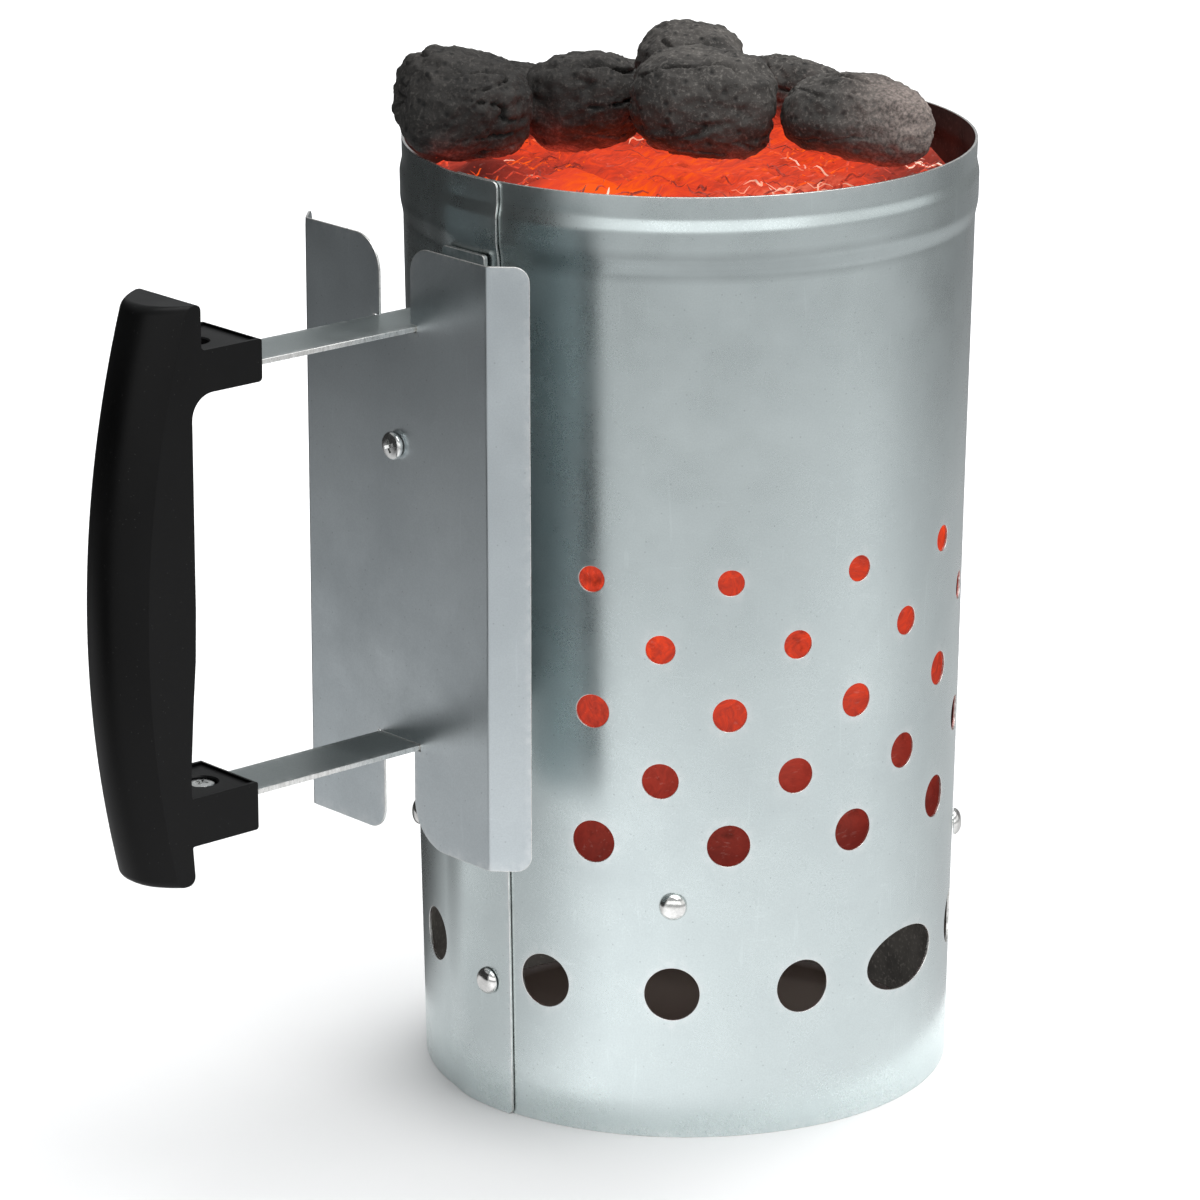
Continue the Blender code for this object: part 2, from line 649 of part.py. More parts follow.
def build_shield_fixing(parent):
    """Spacer between wall and shield, the screw through all of them, and its nut inside the body."""
    start = lap_surface(SHIELD_SCREW_HEIGHT) + GAP
    end = SHIELD_FACE - SHIELD_SHEET - GAP
    bm = bmesh.new()
    placement = facing_out(0.0, (start + end) / 2, SHIELD_SCREW_HEIGHT)
    add_drill(bm, placement, SPACER_RADIUS, end - start, 16)
    spacer = add_piece("shield_spacer", finish_mesh("shield_spacer", bm, 30), "screw_steel", parent)
    cut(spacer, shank_cutter("spacer_bore", placement, parent))

    nut_outer = wall_radius(SHIELD_SCREW_HEIGHT) - SHEET - GAP
    placement = facing_out(0.0, nut_outer - NUT_THICKNESS / 2, SHIELD_SCREW_HEIGHT)
    bm = bmesh.new()
    add_drill(bm, placement, NUT_WIDTH / math.sqrt(3), NUT_THICKNESS, 6)
    nut = add_piece("shield_nut", finish_mesh("shield_nut", bm), "screw_steel", parent)
    cut(nut, shank_cutter("nut_bore", placement, parent))

    seat = SHIELD_FACE + GAP
    length = seat - (nut_outer - NUT_THICKNESS - SCREW_PAST_NUT)
    place = facing_out(0.0, seat, SHIELD_SCREW_HEIGHT)
    add_screw("shield_screw", place, SHIELD_SCREW_HEAD_HEIGHT, length, parent)


def shank_cutter(name, placement, parent):
    bm = bmesh.new()
    add_drill(bm, placement, BORE_RADIUS, LONG_DRILL, 12)
    return add_cutter(name, bm, parent)


# Grip


def grip_inner_outline():
    """Side view of the inner face with both stubs, from the bottom end to the top end."""
    low, high = GRIP_INNER_FACE[0][0], GRIP_INNER_FACE[-1][0]
    corners = [(ridge_reach(GRIP_BOTTOM), GRIP_BOTTOM, 0), (GRIP_INNER_AT_BOTTOM, GRIP_BOTTOM, GRIP_END_ROUND)]
    corners += [(low, LOWER_STUB[0], 0), (LOWER_STUB_TIP, LOWER_STUB[0], STUB_ROUND)]
    corners += [(LOWER_STUB_TIP, LOWER_STUB[1], STUB_ROUND), (low, LOWER_STUB[1], 0)]
    corners += [(reach, height, 0) for reach, height in GRIP_INNER_FACE]
    corners += [(high, UPPER_STUB[0], STUB_FILLET), (UPPER_STUB_TIP, UPPER_STUB[0], STUB_ROUND)]
    corners += [(UPPER_STUB_TIP, UPPER_STUB[1], STUB_ROUND), (GRIP_INNER_AT_TOP, UPPER_STUB[1], 0)]
    corners += [(GRIP_INNER_AT_TOP, GRIP_TOP, GRIP_END_ROUND), (ridge_reach(GRIP_TOP), GRIP_TOP, 0)]
    return rounded_outline(corners)


def grip_share(height):
    """0 at the bottom end of the grip and 1 at its top end."""
    return (height - GRIP_BOTTOM) / (GRIP_TOP - GRIP_BOTTOM)


def ridge_reach(height):
    """Where the flat sides end: a shallow arc over the length of the grip, leaning in at the top."""
    share = grip_share(height)
    return blend(GRIP_END_REACH, share) + 4 * GRIP_BOW * share * (1 - share)


def crown_reach(height, share):
    """How far the outer face stands out past the ridges at a share of the half width."""
    return blend(CROWN_DEPTH, grip_share(height)) * (1 - abs(share) ** CROWN_POWER)


def build_grip_mesh():
    """Two flat sides joined by plain strips around the inner outline and by a crowned outer face."""
    half = GRIP_WIDTH / 2
    inner = grip_inner_outline()
    drop = (GRIP_BOTTOM - GRIP_TOP) / CROWN_ROWS
    heights = [GRIP_TOP + drop * row for row in range(1, CROWN_ROWS)]
    ridge = [Vector((ridge_reach(height), height)) for height in heights]
    outline = inner + ridge
    bm = bmesh.new()
    near = [bm.verts.new(side_view(x, z, half)) for x, z in outline]
    far = [bm.verts.new(side_view(x, z, -half)) for x, z in outline]
    bm.faces.new(near)
    bm.faces.new(reversed(far))
    for index in range(len(inner) - 1):
        bm.faces.new((near[index], far[index], far[index + 1], near[index + 1]))
    stations = [len(inner) - 1, *range(len(inner), len(outline)), 0]
    columns = [crown_column(bm, outline[index], near[index], far[index]) for index in stations]
    for above, below in zip(columns, columns[1:]):
        for a, b, c, d in zip(above, above[1:], below, below[1:]):
            bm.faces.new((a, c, d, b))
    for column in (columns[0], columns[-1]):
        bm.faces.new(column)
    return finish_mesh("handle_grip", bm, 30)


def crown_column(bm, ridge_point, near, far):
    """One row of vertices over the crown, from the near ridge to the far one."""
    reach, height = ridge_point
    column = [near]
    for step in range(1, CROWN_STEPS):
        share = math.cos(math.pi * step / CROWN_STEPS)
        out = reach + crown_reach(height, share)
        column.append(bm.verts.new(side_view(out, height, share * GRIP_WIDTH / 2)))
    return [*column, far]


def screw_seats():
    """Stub top and the floor of its screw well."""
    return {"upper": (UPPER_STUB[1], UPPER_STUB[1] - UPPER_WELL_DEPTH),
            "lower": (LOWER_STUB[1], LOWER_STUB[1] - LOWER_WELL_DEPTH)}


def build_grip(parent):
    grip = add_piece("handle_grip", build_grip_mesh(), "moulded_black", parent)
    bevel = grip.modifiers.new("edge_round", "BEVEL")
    bevel.width = GRIP_EDGE_ROUND
    bevel.segments = 2
    bevel.limit_method = "ANGLE"
    bevel.angle_limit = math.radians(50)
    cut(grip, add_cutter("strap_pockets", strap_pockets(), parent))
    bores, wells = bmesh.new(), bmesh.new()
    for stub_top, seat in screw_seats().values():
        bore_end = seat - HANDLE_SCREW_LENGTH - 2 * GAP
        add_upright_drill(bores, BORE_RADIUS, bore_end, seat + GAP, 12)
        add_upright_drill(wells, SCREW_WELL_RADIUS, seat, stub_top + OVERCUT, 16)
    cut(grip, add_cutter("screw_bores", bores, parent))
    cut(grip, add_cutter("screw_wells", wells, parent))


def strap_pockets():
    bm = bmesh.new()
    for strap_top, tip in ((UPPER_STRAP_TOP, UPPER_STUB_TIP), (LOWER_STRAP_TOP, LOWER_STUB_TIP)):
        mouth = tip - OVERCUT
        centre = Vector((-(mouth + POCKET_TIP) / 2, 0, strap_top - STRAP_THICKNESS / 2))
        add_box(bm, centre, (POCKET_TIP - mouth, STRAP_WIDTH + 2 * GAP, STRAP_THICKNESS + 2 * GAP))
    return bm


def add_upright_drill(bm, radius, bottom, top, segments):
    """Adds a cutter on the line of the handle screws."""
    place = Matrix.Translation((-HANDLE_SCREW_REACH, 0, (bottom + top) / 2))
    add_drill(bm, place, radius, top - bottom, segments)


def build_handle_screws(parent):
    for name, (_, seat) in screw_seats().items():
        place = Matrix.Translation((-HANDLE_SCREW_REACH, 0, seat + GAP))
        add_screw(f"{name}_handle_screw", place, HANDLE_SCREW_HEAD_HEIGHT, HANDLE_SCREW_LENGTH, parent)


# Charcoal


def load_radius(height):
    return wall_radius(height) - SHEET - LOAD_CLEARANCE


def build_ember_bed(parent):
    profile = [(0.0, LOAD_TOP), (load_radius(LOAD_TOP) - LOAD_EDGE, LOAD_TOP)]
    profile += [(load_radius(LOAD_TOP - LOAD_EDGE), LOAD_TOP - LOAD_EDGE)]
    profile += [(load_radius(LOAD_BOTTOM), LOAD_BOTTOM), (0.0, LOAD_BOTTOM)]
    mesh = finish_mesh("ember_bed", revolve(profile, 32), 30)
    add_piece("ember_bed", mesh, "ember", parent)


def briquette_mesh(name, half_sizes):
    """Pillow shape: a sphere pushed out towards its bounding box."""
    bm = bmesh.new()
    bmesh.ops.create_uvsphere(bm, u_segments=14, v_segments=9, radius=1.0)
    for vertex in bm.verts:
        swell = sum(abs(part) ** BRIQUETTE_POWER for part in vertex.co) ** (-1 / BRIQUETTE_POWER)
        vertex.co = Vector([part * swell * half for part, half in zip(vertex.co, half_sizes)])
    return finish_mesh(name, bm, 60)


def build_briquettes(parent):
    for number, (centre, half_sizes, turns) in enumerate(BRIQUETTES, 1):
        name = f"briquette_{number:02d}"
        piece = add_piece(name, briquette_mesh(name, half_sizes), "charcoal", parent)
        piece.location = centre
        piece.rotation_euler = [math.radians(turn) for turn in turns]


def build_starter():
    axis = bpy.data.objects.new("body_axis", None)
    bpy.context.collection.objects.link(axis)
    axis.location = (AXIS_X, 0, 0)
    load = bpy.data.objects.new("charcoal_load", None)
    bpy.context.collection.objects.link(load)
    load.parent = axis

    build_shell(axis)
    build_seam_rivets(axis)
    build_grate(axis)
    build_grate_rivets(axis)
    rivet_heights = foot_rivet_heights()
    build_strap("upper_strap", UPPER_STRAP_TOP, True, rivet_heights["upper"], axis)
    build_strap("lower_strap", LOWER_STRAP_TOP, False, rivet_heights["lower"], axis)
    build_foot_rivets(axis)
    build_shield(axis)
    build_shield_fixing(axis)
    build_grip(axis)
    build_handle_screws(axis)
    build_ember_bed(load)
    build_briquettes(load)


clear_scene()
build_starter()
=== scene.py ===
"""Looks of the chimney charcoal starter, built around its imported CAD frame.

Metres, +Z up. The handle points along -X. Angles around the body start at the handle and run anticlockwise
seen from above. Sheet parts are drawn as flat patterns with their holes, then rolled, bent or folded.
"""

import random
from math import acos, asin, atan2, ceil, cos, degrees, pi, radians, sin, sqrt, tan, tau

import bmesh
import bpy
import numpy as np
from mathutils import Matrix, Vector, geometry, kdtree, noise


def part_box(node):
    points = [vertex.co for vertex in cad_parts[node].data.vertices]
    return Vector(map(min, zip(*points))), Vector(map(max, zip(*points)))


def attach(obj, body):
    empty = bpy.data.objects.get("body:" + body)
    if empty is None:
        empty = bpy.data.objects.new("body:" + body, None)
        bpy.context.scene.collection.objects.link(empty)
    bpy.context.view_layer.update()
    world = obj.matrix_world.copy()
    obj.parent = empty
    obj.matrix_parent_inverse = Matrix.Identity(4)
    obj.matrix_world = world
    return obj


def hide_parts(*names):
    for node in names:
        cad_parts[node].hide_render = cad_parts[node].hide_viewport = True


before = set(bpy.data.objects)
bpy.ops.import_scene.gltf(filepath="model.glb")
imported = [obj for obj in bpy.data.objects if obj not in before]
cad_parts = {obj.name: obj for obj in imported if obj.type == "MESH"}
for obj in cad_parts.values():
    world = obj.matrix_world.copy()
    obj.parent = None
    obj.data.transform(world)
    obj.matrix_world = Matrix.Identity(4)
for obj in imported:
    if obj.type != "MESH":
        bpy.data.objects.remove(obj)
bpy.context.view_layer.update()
MM = 0.001
OUTLINE_SPACING = 0.6 * MM

# Body, read from the frame
GRATE_LOW, GRATE_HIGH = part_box("charcoal_grate")
AXIS = Vector(((GRATE_LOW.x + GRATE_HIGH.x) / 2, 0.0, 0.0))
BODY_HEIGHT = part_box("outer_shell")[1].z


def polar(node):
    """Radius from the body axis, angle from the handle, and height of a node's vertices."""
    points = np.array([vertex.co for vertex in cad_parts[node].data.vertices])
    x, y = points[:, 0] - AXIS.x, points[:, 1]
    return np.hypot(x, y), np.arctan2(-y, -x), points[:, 2]


def sheet_radii(height):
    """Inner and outer radius of the body sheet at one end, away from the seam."""
    radius, angle, z = polar("outer_shell")
    chosen = radius[(np.abs(z - height) < 0.1 * MM) & (np.abs(angle) > pi / 2)]
    return chosen.min(), chosen.max()


INNER_BASE, BASE_RADIUS = sheet_radii(0.0)
SHEET = BASE_RADIUS - INNER_BASE
TAPER = (sheet_radii(BODY_HEIGHT)[1] - BASE_RADIUS) / BODY_HEIGHT
MEAN_RADIUS = BASE_RADIUS + TAPER * BODY_HEIGHT / 2
GAP = 0.3 * MM

# Seam and bead
LAP_START = radians(-4.8)
LAP_END = radians(368.2)
LAP_RAMP = radians(10.0)
BEAD_HEIGHT = 0.78 * MM
BEAD_BELOW_RIM = (22.8 * MM, 16.8 * MM, 10.4 * MM, 5.8 * MM)   # foot, crest, crest, foot
SHEET_CORNER = 1.8 * MM
SHELL_WAVE = 0.07 * MM
BODY_GRID, BEAD_GRID, BODY_COLUMNS = 3.5 * MM, 0.8 * MM, 374

# Vents
VENT_PITCH = radians(28.2)
VENT_TOP_ROW = 166.9 * MM
VENT_ROW_SPACING = 19.5 * MM
VENT_RADII = (3.8 * MM, 4.2 * MM, 4.9 * MM, 5.2 * MM, 6.2 * MM)
VENTS_IN_LONG_ROW = 12
AIR_HOLE_HEIGHT = 44.1 * MM
AIR_HOLE_RADIUS = 7.9 * MM
AIR_HOLE_START = radians(16.6)
AIR_HOLES = 11
AIR_HOLE_BEHIND_SEAM = radians(-21.0)
LIGHTING_HOLE_INDEX = 3
LIGHTING_HOLE_SIZE = (15.8 * MM, 9.1 * MM)   # half width and half height

# Fasteners
SHANK_RADIUS = 2.0 * MM
BORE_RADIUS = SHANK_RADIUS + GAP
HEAD_RADIUS = 4.0 * MM
RIVET_HEAD_HEIGHT = 2.4 * MM
RIVET_TAIL_RADIUS = 2.9 * MM
RIVET_TAIL_HEIGHT = 1.2 * MM
SHIELD_SCREW_HEAD = 2.4 * MM
HANDLE_SCREW_HEAD = 2.0 * MM
RECESS_DEPTH = 1.2 * MM
RECESS_LENGTH = 4.2 * MM
RECESS_WIDTH = 1.0 * MM
NUT_CHAMFER = 0.5 * MM
THREAD_PITCH = 0.7 * MM
THREAD_DEPTH = 0.28 * MM
AROUND = 48   # sides of a turned part

# Straps, shield and grip, from the frame
STRAP_LOW, STRAP_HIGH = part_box("upper_strap")
STRAP_THICKNESS = 1.5 * MM
STRAP_TIP = AXIS.x - STRAP_LOW.x
UPPER_STRAP_TOP = STRAP_LOW.z + STRAP_THICKNESS
LOWER_STRAP_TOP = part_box("lower_strap")[1].z
STRAP_WIDTH = STRAP_HIGH.y - STRAP_LOW.y
STRAP_BEND = 0.7 * MM
SHIELD_LOW, SHIELD_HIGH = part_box("heat_shield")
SHIELD_FACE = AXIS.x - SHIELD_LOW.x
SHIELD_SHEET = 0.7 * MM
SHIELD_WIDTH = 76.6 * MM
FLANGE_WIDTH = 12.5 * MM
FLANGE_ANGLE = radians(45.0)
FOLD_RADIUS = 1.7 * MM
FLANGE_CORNER = 4.5 * MM
NOTCH_WIDTH = 13.2 * MM
NOTCH_CORNERS_TOP = (10.0 * MM, 7.5 * MM)
NOTCH_CORNERS_BOTTOM = (6.5 * MM, 13.0 * MM)
GRIP_LOW, GRIP_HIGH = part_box("handle_grip")
GRIP_INNER_AT_BOTTOM = 191.9 * MM      # distances of the inner face from the body axis
GRIP_INNER_AT_TOP = 186.4 * MM
GRIP_INNER_FACE = ((192.7, 130.0), (192.2, 138.0), (191.4, 150.0),   # distance and height in millimetres
                   (190.4, 162.0), (190.0, 176.0), (189.9, 220.0))
GRIP_END_REACH = (197.8 * MM, 190.8 * MM)   # side ridge at the bottom and top ends
GRIP_BOW = 11.5 * MM
CROWN_DEPTH = (7.0 * MM, 9.4 * MM)
CROWN_POWER = 2.4
GRIP_ROWS, GRIP_COLUMNS = 56, 26
GRIP_END_ROUND = 2.2 * MM
UPPER_STUB = (235.6 * MM, 247.5 * MM)   # bottom and top
LOWER_STUB = (109.3 * MM, 123.0 * MM)
UPPER_STUB_TIP = AXIS.x - GRIP_HIGH.x
LOWER_STUB_TIP = 170.0 * MM
POCKET_TIP = 188.6 * MM
WELL_RADIUS = 4.6 * MM
HANDLE_SCREW_REACH = AXIS.x - sum(corner.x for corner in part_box("upper_handle_screw")) / 2

# Grate
GRATE_SHEET = 0.8 * MM
GRATE_TAB_WIDTH = 14.0 * MM
GRATE_TAB_DROP = 12.0 * MM
GRATE_HOLE_RADIUS = 5.0 * MM
GRATE_HOLE_RINGS = ((0.0, 1), (18.0 * MM, 6), (36.0 * MM, 12), (54.0 * MM, 18))
TAB_ANGLES = [radians(45 + 90 * quarter) for quarter in range(4)]
TAB_RELIEF = 1.2 * MM

# Coals
LOAD_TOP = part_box("ember_bed")[1].z
LOAD_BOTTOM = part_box("ember_bed")[0].z
LOAD_CLEARANCE = 6.2 * MM
COAL_VOXEL = 0.8 * MM
FIBRES = 300
HOTTEST = AXIS + Vector((-0.0389, -0.0026, LOAD_TOP))
COLD_LEFT = AXIS + Vector((-0.0568, 0.0356, LOAD_TOP))
COLD_RIGHT = AXIS + Vector((0.0561, -0.0512, LOAD_TOP))
ASHEN = AXIS + Vector((-0.0040, -0.0440, LOAD_TOP))
HEAP_SIDE = Vector((0.738, -0.674, 0.0))   # across the heap, away from the shield
ASHEN_COAL_END = AXIS + Vector((0.0243, -0.0682, 0.2850))

# Camera: it stands between the handle and the lighting hole
VIEW_ANGLE = radians(47.6)
CAMERA_DISTANCE = 1.6244
CAMERA_HEIGHT = 0.634
CAMERA_PITCH = radians(90 - 16.99)
CAMERA_AIM = radians(0.90)
CAMERA_LENS = 173.9


# Mesh helpers


def new_piece(name, data, *materials):
    piece = bpy.data.objects.new(name, data)
    bpy.context.scene.collection.objects.link(piece)
    for material in materials:
        data.materials.append(material)
    return piece


def finish_mesh(name, bm, smooth_angle=35.0):
    bmesh.ops.recalc_face_normals(bm, faces=bm.faces)
    mesh = bpy.data.meshes.new(name)
    bm.to_mesh(mesh)
    bm.free()
    mesh.shade_smooth()
    mesh.set_sharp_from_angle(angle=radians(smooth_angle))
    return mesh


def apply_modifiers(piece):
    """Puts the evaluated mesh in place of the piece's own and drops its modifiers."""
    graph = bpy.context.evaluated_depsgraph_get()
    mesh = bpy.data.meshes.new_from_object(piece.evaluated_get(graph))
    piece.modifiers.clear()
    piece.data = mesh


def add_modifier(piece, kind, **settings):
    modifier = piece.modifiers.new(kind.lower(), kind)
    for name, value in settings.items():
        setattr(modifier, name, value)


def cut(piece, *cutters):
    for bm in cutters:
        cutter = new_piece("cutter", finish_mesh("cutter", bm))
        add_modifier(piece, "BOOLEAN", operation="DIFFERENCE", solver="EXACT", object=cutter)
        apply_modifiers(piece)
        bpy.data.objects.remove(cutter)


def bridge(bm, rows, closed=True):
    """Faces between each row of vertices and the next."""
    for lower, upper in zip(rows, rows[1:]):
        for index in range(0 if closed else 1, len(lower)):
            bm.faces.new((lower[index - 1], lower[index], upper[index], upper[index - 1]))


def revolve(profile, segments):
    """Closed solid from (radius, z) points that start and end on the axis, or a ring from a closed profile."""
    bm = bmesh.new()
    solid = profile[0][0] == 0
    angles = [tau * index / segments for index in range(segments)]
    rings = [[bm.verts.new(at(r, a, z)) for a in angles] for r, z in (profile[1:-1] if solid else profile)]
    bridge(bm, rings if solid else [*rings, rings[0]])
    if solid:
        for (_, z), ring in ((profile[0], rings[0]), (profile[-1], rings[-1])):
            tip = bm.verts.new((0, 0, z))
            for index in range(segments):
                bm.faces.new((tip, ring[index - 1], ring[index]))
    return bm


def arc(x, y, radius, start, end, steps):
    """Points on an arc of a profile, angles in degrees."""
    angles = [radians(start + (end - start) * step / steps) for step in range(steps + 1)]
    return [(x + radius * cos(angle), y + radius * sin(angle)) for angle in angles]


def at(radius, angle, height=0.0):
    return Vector((radius * cos(angle), radius * sin(angle), height))


def rotated(p, q, angle):
    """The point (p, q) turned about the origin."""
    return p * cos(angle) - q * sin(angle), p * sin(angle) + q * cos(angle)


def box_mesh(low, high):
    bm = bmesh.new()
    size = [b - a for a, b in zip(low, high)]
    centre = Vector([(a + b) / 2 for a, b in zip(low, high)])
    bmesh.ops.create_cube(bm, size=1, matrix=Matrix.Translation(centre) @ Matrix.Diagonal((*size, 1)))
    return bm


def facing_out(angle, radius, height):
    """Placement whose +Z points away from the body axis."""
    turned = Matrix.Rotation(pi + angle, 4, "Z") @ Matrix.Rotation(pi / 2, 4, "Y")
    return Matrix.Translation(AXIS + at(-radius, angle, height)) @ turned


def smooth_step(value, low, high):
    share = np.clip((value - low) / (high - low), 0.0, 1.0)
    return share * share * (3 - 2 * share)


# Flat patterns


def walk(corners):
    """Each corner of a closed loop, the directions to its neighbours, and its radius."""
    places = [Vector(corner[:2]) for corner in corners]
    for index, here in enumerate(places):
        ahead = places[(index + 1) % len(places)]
        yield here, (places[index - 1] - here).normalized(), (ahead - here).normalized(), corners[index][2]


def sweep_points(centre, first, sweep, steps):
    return [centre + Matrix.Rotation(-sweep * step / steps, 2) @ first for step in range(steps + 1)]


def rounded_outline(corners):
    """Closed loop through (x, y, corner radius) in order."""
    points = []
    for corner, back, ahead, radius in walk(corners):
        if radius == 0:
            points.append(corner)
            continue
        half = acos(max(-1.0, min(1.0, back.dot(ahead)))) / 2
        centre = corner + (back + ahead).normalized() * radius / sin(half)
        first = corner + back * radius / tan(half) - centre
        sweep = first.angle_signed(corner + ahead * radius / tan(half) - centre)
        points += sweep_points(centre, first, sweep, max(6, int(abs(sweep) * radius / OUTLINE_SPACING) + 1))
    return fill_loop(np.array([tuple(point) for point in points]), 2.5 * OUTLINE_SPACING)


def fill_loop(loop, spacing):
    """Adds points so that no stretch of the loop is longer than the spacing."""
    filled = []
    for start, end in zip(loop, np.roll(loop, -1, 0)):
        count = max(1, int(ceil(np.linalg.norm(end - start) / spacing)))
        filled += [start + (end - start) * step / count for step in range(count)]
    return np.array(filled)


def circle(centre, radius, stretch=1.0):
    """Clockwise circle, stretched along u where the pattern is wider than the finished sheet."""
    count = max(28, int(tau * radius / (0.7 * MM)))
    angles = -np.arange(count) * tau / count
    u, v = centre
    return np.column_stack((u + radius * stretch * np.cos(angles), v + radius * np.sin(angles)))


def inset(loop, distance):
    """The loop moved into the material, which lies on its left."""
    ahead = np.roll(loop, -1, 0) - loop
    ahead /= np.linalg.norm(ahead, axis=1)[:, None]
    left = np.column_stack((-ahead[:, 1], ahead[:, 0]))
    before = np.roll(left, 1, 0)
    mitre = (left + before) / (1 + np.sum(left * before, axis=1))[:, None]
    return loop + mitre * distance, mitre / np.linalg.norm(mitre, axis=1)[:, None]


def inside(points, loops):
    """Whether each point has an odd number of loop edges to its right."""
    odd = np.zeros(len(points), bool)
    for loop in loops:
        low, high = loop.min(0), loop.max(0)
        near = np.nonzero((points[:, 1] >= low[1]) & (points[:, 1] <= high[1]) & (points[:, 0] <= high[0]))[0]
        x, y = points[near].T
        count = np.zeros(len(near), int)
        for (ax, ay), (bx, by) in zip(loop, np.roll(loop, -1, 0)):
            if ay != by:
                count += ((ay > y) != (by > y)) & (x < ax + (y - ay) * (bx - ax) / (by - ay))
        odd[near] ^= count % 2 == 1
    return odd


def distance_to(points, loops):
    tree = kdtree.KDTree(sum(len(loop) for loop in loops))
    for index, (u, v) in enumerate(np.vstack(loops)):
        tree.insert((u, v, 0.0), index)
    tree.balance()
    return np.array([tree.find((u, v, 0.0))[2] for u, v in points])


def triangulate(loops, grid):
    """Points and triangles of the pattern, and where the loops' own points went."""
    points = np.vstack([*loops, grid]) / MM
    edges, start = [], 0
    for loop in loops:
        edges += [(start + index, start + (index + 1) % len(loop)) for index in range(len(loop))]
        start += len(loop)
    found = geometry.delaunay_2d_cdt([Vector(point) for point in points], edges, [], 0, 1e-5)
    flat = np.array([tuple(point) for point in found[0]]) * MM
    triangles = np.array([face for face in found[2] if len(face) == 3])
    kept = triangles[inside(flat[triangles].mean(1), loops)]
    home = {source: index for index, sources in enumerate(found[3]) for source in sources}
    return flat, kept, [home[index] for index in range(start)]


def surface_normals(place, flat, depth):
    """Unit normals of the placed pattern, pointing to the side of depth 0."""
    u, v = flat.T
    step = 0.01 * MM
    along_u = place(u + step, v, depth) - place(u - step, v, depth)
    along_v = place(u, v + step, depth) - place(u, v - step, depth)
    normal = np.cross(along_u, along_v)
    towards = place(u, v, depth) - place(u, v, depth + step)
    normal *= np.sign(np.sum(normal * towards, axis=1))[:, None]
    return normal / np.linalg.norm(normal, axis=1)[:, None]


def sheet_piece(name, loops, grid, place, thickness, materials, edge=0.16 * MM, steps=2):
    """Sheet part with rounded edges. loops[0] is the outline, anticlockwise, and the rest are clockwise holes.
    place(u, v, depth) puts a point of the pattern in space, depth running from the outer face to the inner."""
    faces_loops = [inset(loop, edge)[0] for loop in loops]
    spacing = np.median(np.abs(np.diff(np.unique(np.round(grid[:, 1], 7)))))
    grid = grid[inside(grid, faces_loops)]
    grid = grid[distance_to(grid, faces_loops) > min(0.6 * spacing, 1.2 * MM)]
    flat, triangles, rim = triangulate(faces_loops, grid)
    wear = np.exp(-distance_to(flat, faces_loops) / (1.2 * MM))
    count = len(flat)
    points = [place(*flat.T, 0.0), place(*flat.T, thickness)]
    normals = [surface_normals(place, flat, 0.0), -surface_normals(place, flat, thickness)]
    faces = [tuple(face) for face in triangles]
    faces += [tuple(face[::-1] + count) for face in triangles]
    tags = [0] * len(triangles) + [1] * len(triangles)

    angles = [pi / 2 * step / steps for step in range(1, steps + 1)]
    levels = [(edge * (1 - sin(a)), edge * (1 - cos(a)), a) for a in angles]
    levels += [(e, thickness - d, pi - a) for e, d, a in reversed(levels)]
    used, start = 0, 2 * count
    for loop in loops:
        size = len(loop)
        ring = np.array(rim[used:used + size])
        used += size
        rings = [ring]
        for away, depth, angle in levels:
            edge_flat, into = inset(loop, away)
            here = place(*edge_flat.T, depth)
            tangent = place(*(edge_flat + into * 0.01 * MM).T, depth) - here
            tangent /= np.linalg.norm(tangent, axis=1)[:, None]
            face_normal = surface_normals(place, edge_flat + into * (edge - away), depth)
            points.append(here)
            normals.append(face_normal * cos(angle) - tangent * sin(angle))
            rings.append(np.arange(start, start + size))
            start += size
        rings.append(ring + count)
        for upper, lower in zip(rings, rings[1:]):
            faces += list(zip(upper, lower, np.roll(lower, -1), np.roll(upper, -1)))
            tags += [2] * size
    points, normals = np.vstack(points), np.vstack(normals)

    mesh = bpy.data.meshes.new(name)
    mesh.from_pydata(points.tolist(), [], [tuple(int(i) for i in face) for face in faces])
    mesh.polygons.foreach_set("material_index", np.array(tags, np.int32))
    bm = bmesh.new()
    bm.from_mesh(mesh)
    bmesh.ops.recalc_face_normals(bm, faces=bm.faces)
    bm.to_mesh(mesh)
    bm.free()
    mesh.shade_smooth()
    normals /= np.linalg.norm(normals, axis=1)[:, None]
    mesh.normals_split_custom_set_from_vertices(normals.tolist())
    attribute = mesh.attributes.new("edge_wear", "FLOAT", "POINT")
    rings_wear = np.ones(len(points) - 2 * count)
    attribute.data.foreach_set("value", np.concatenate([wear, wear, rings_wear]).astype(np.float32))
    return new_piece(name, mesh, *materials)


def grid_points(us, vs):
    return np.array([(u, v) for u in us for v in vs])


# Shader helpers


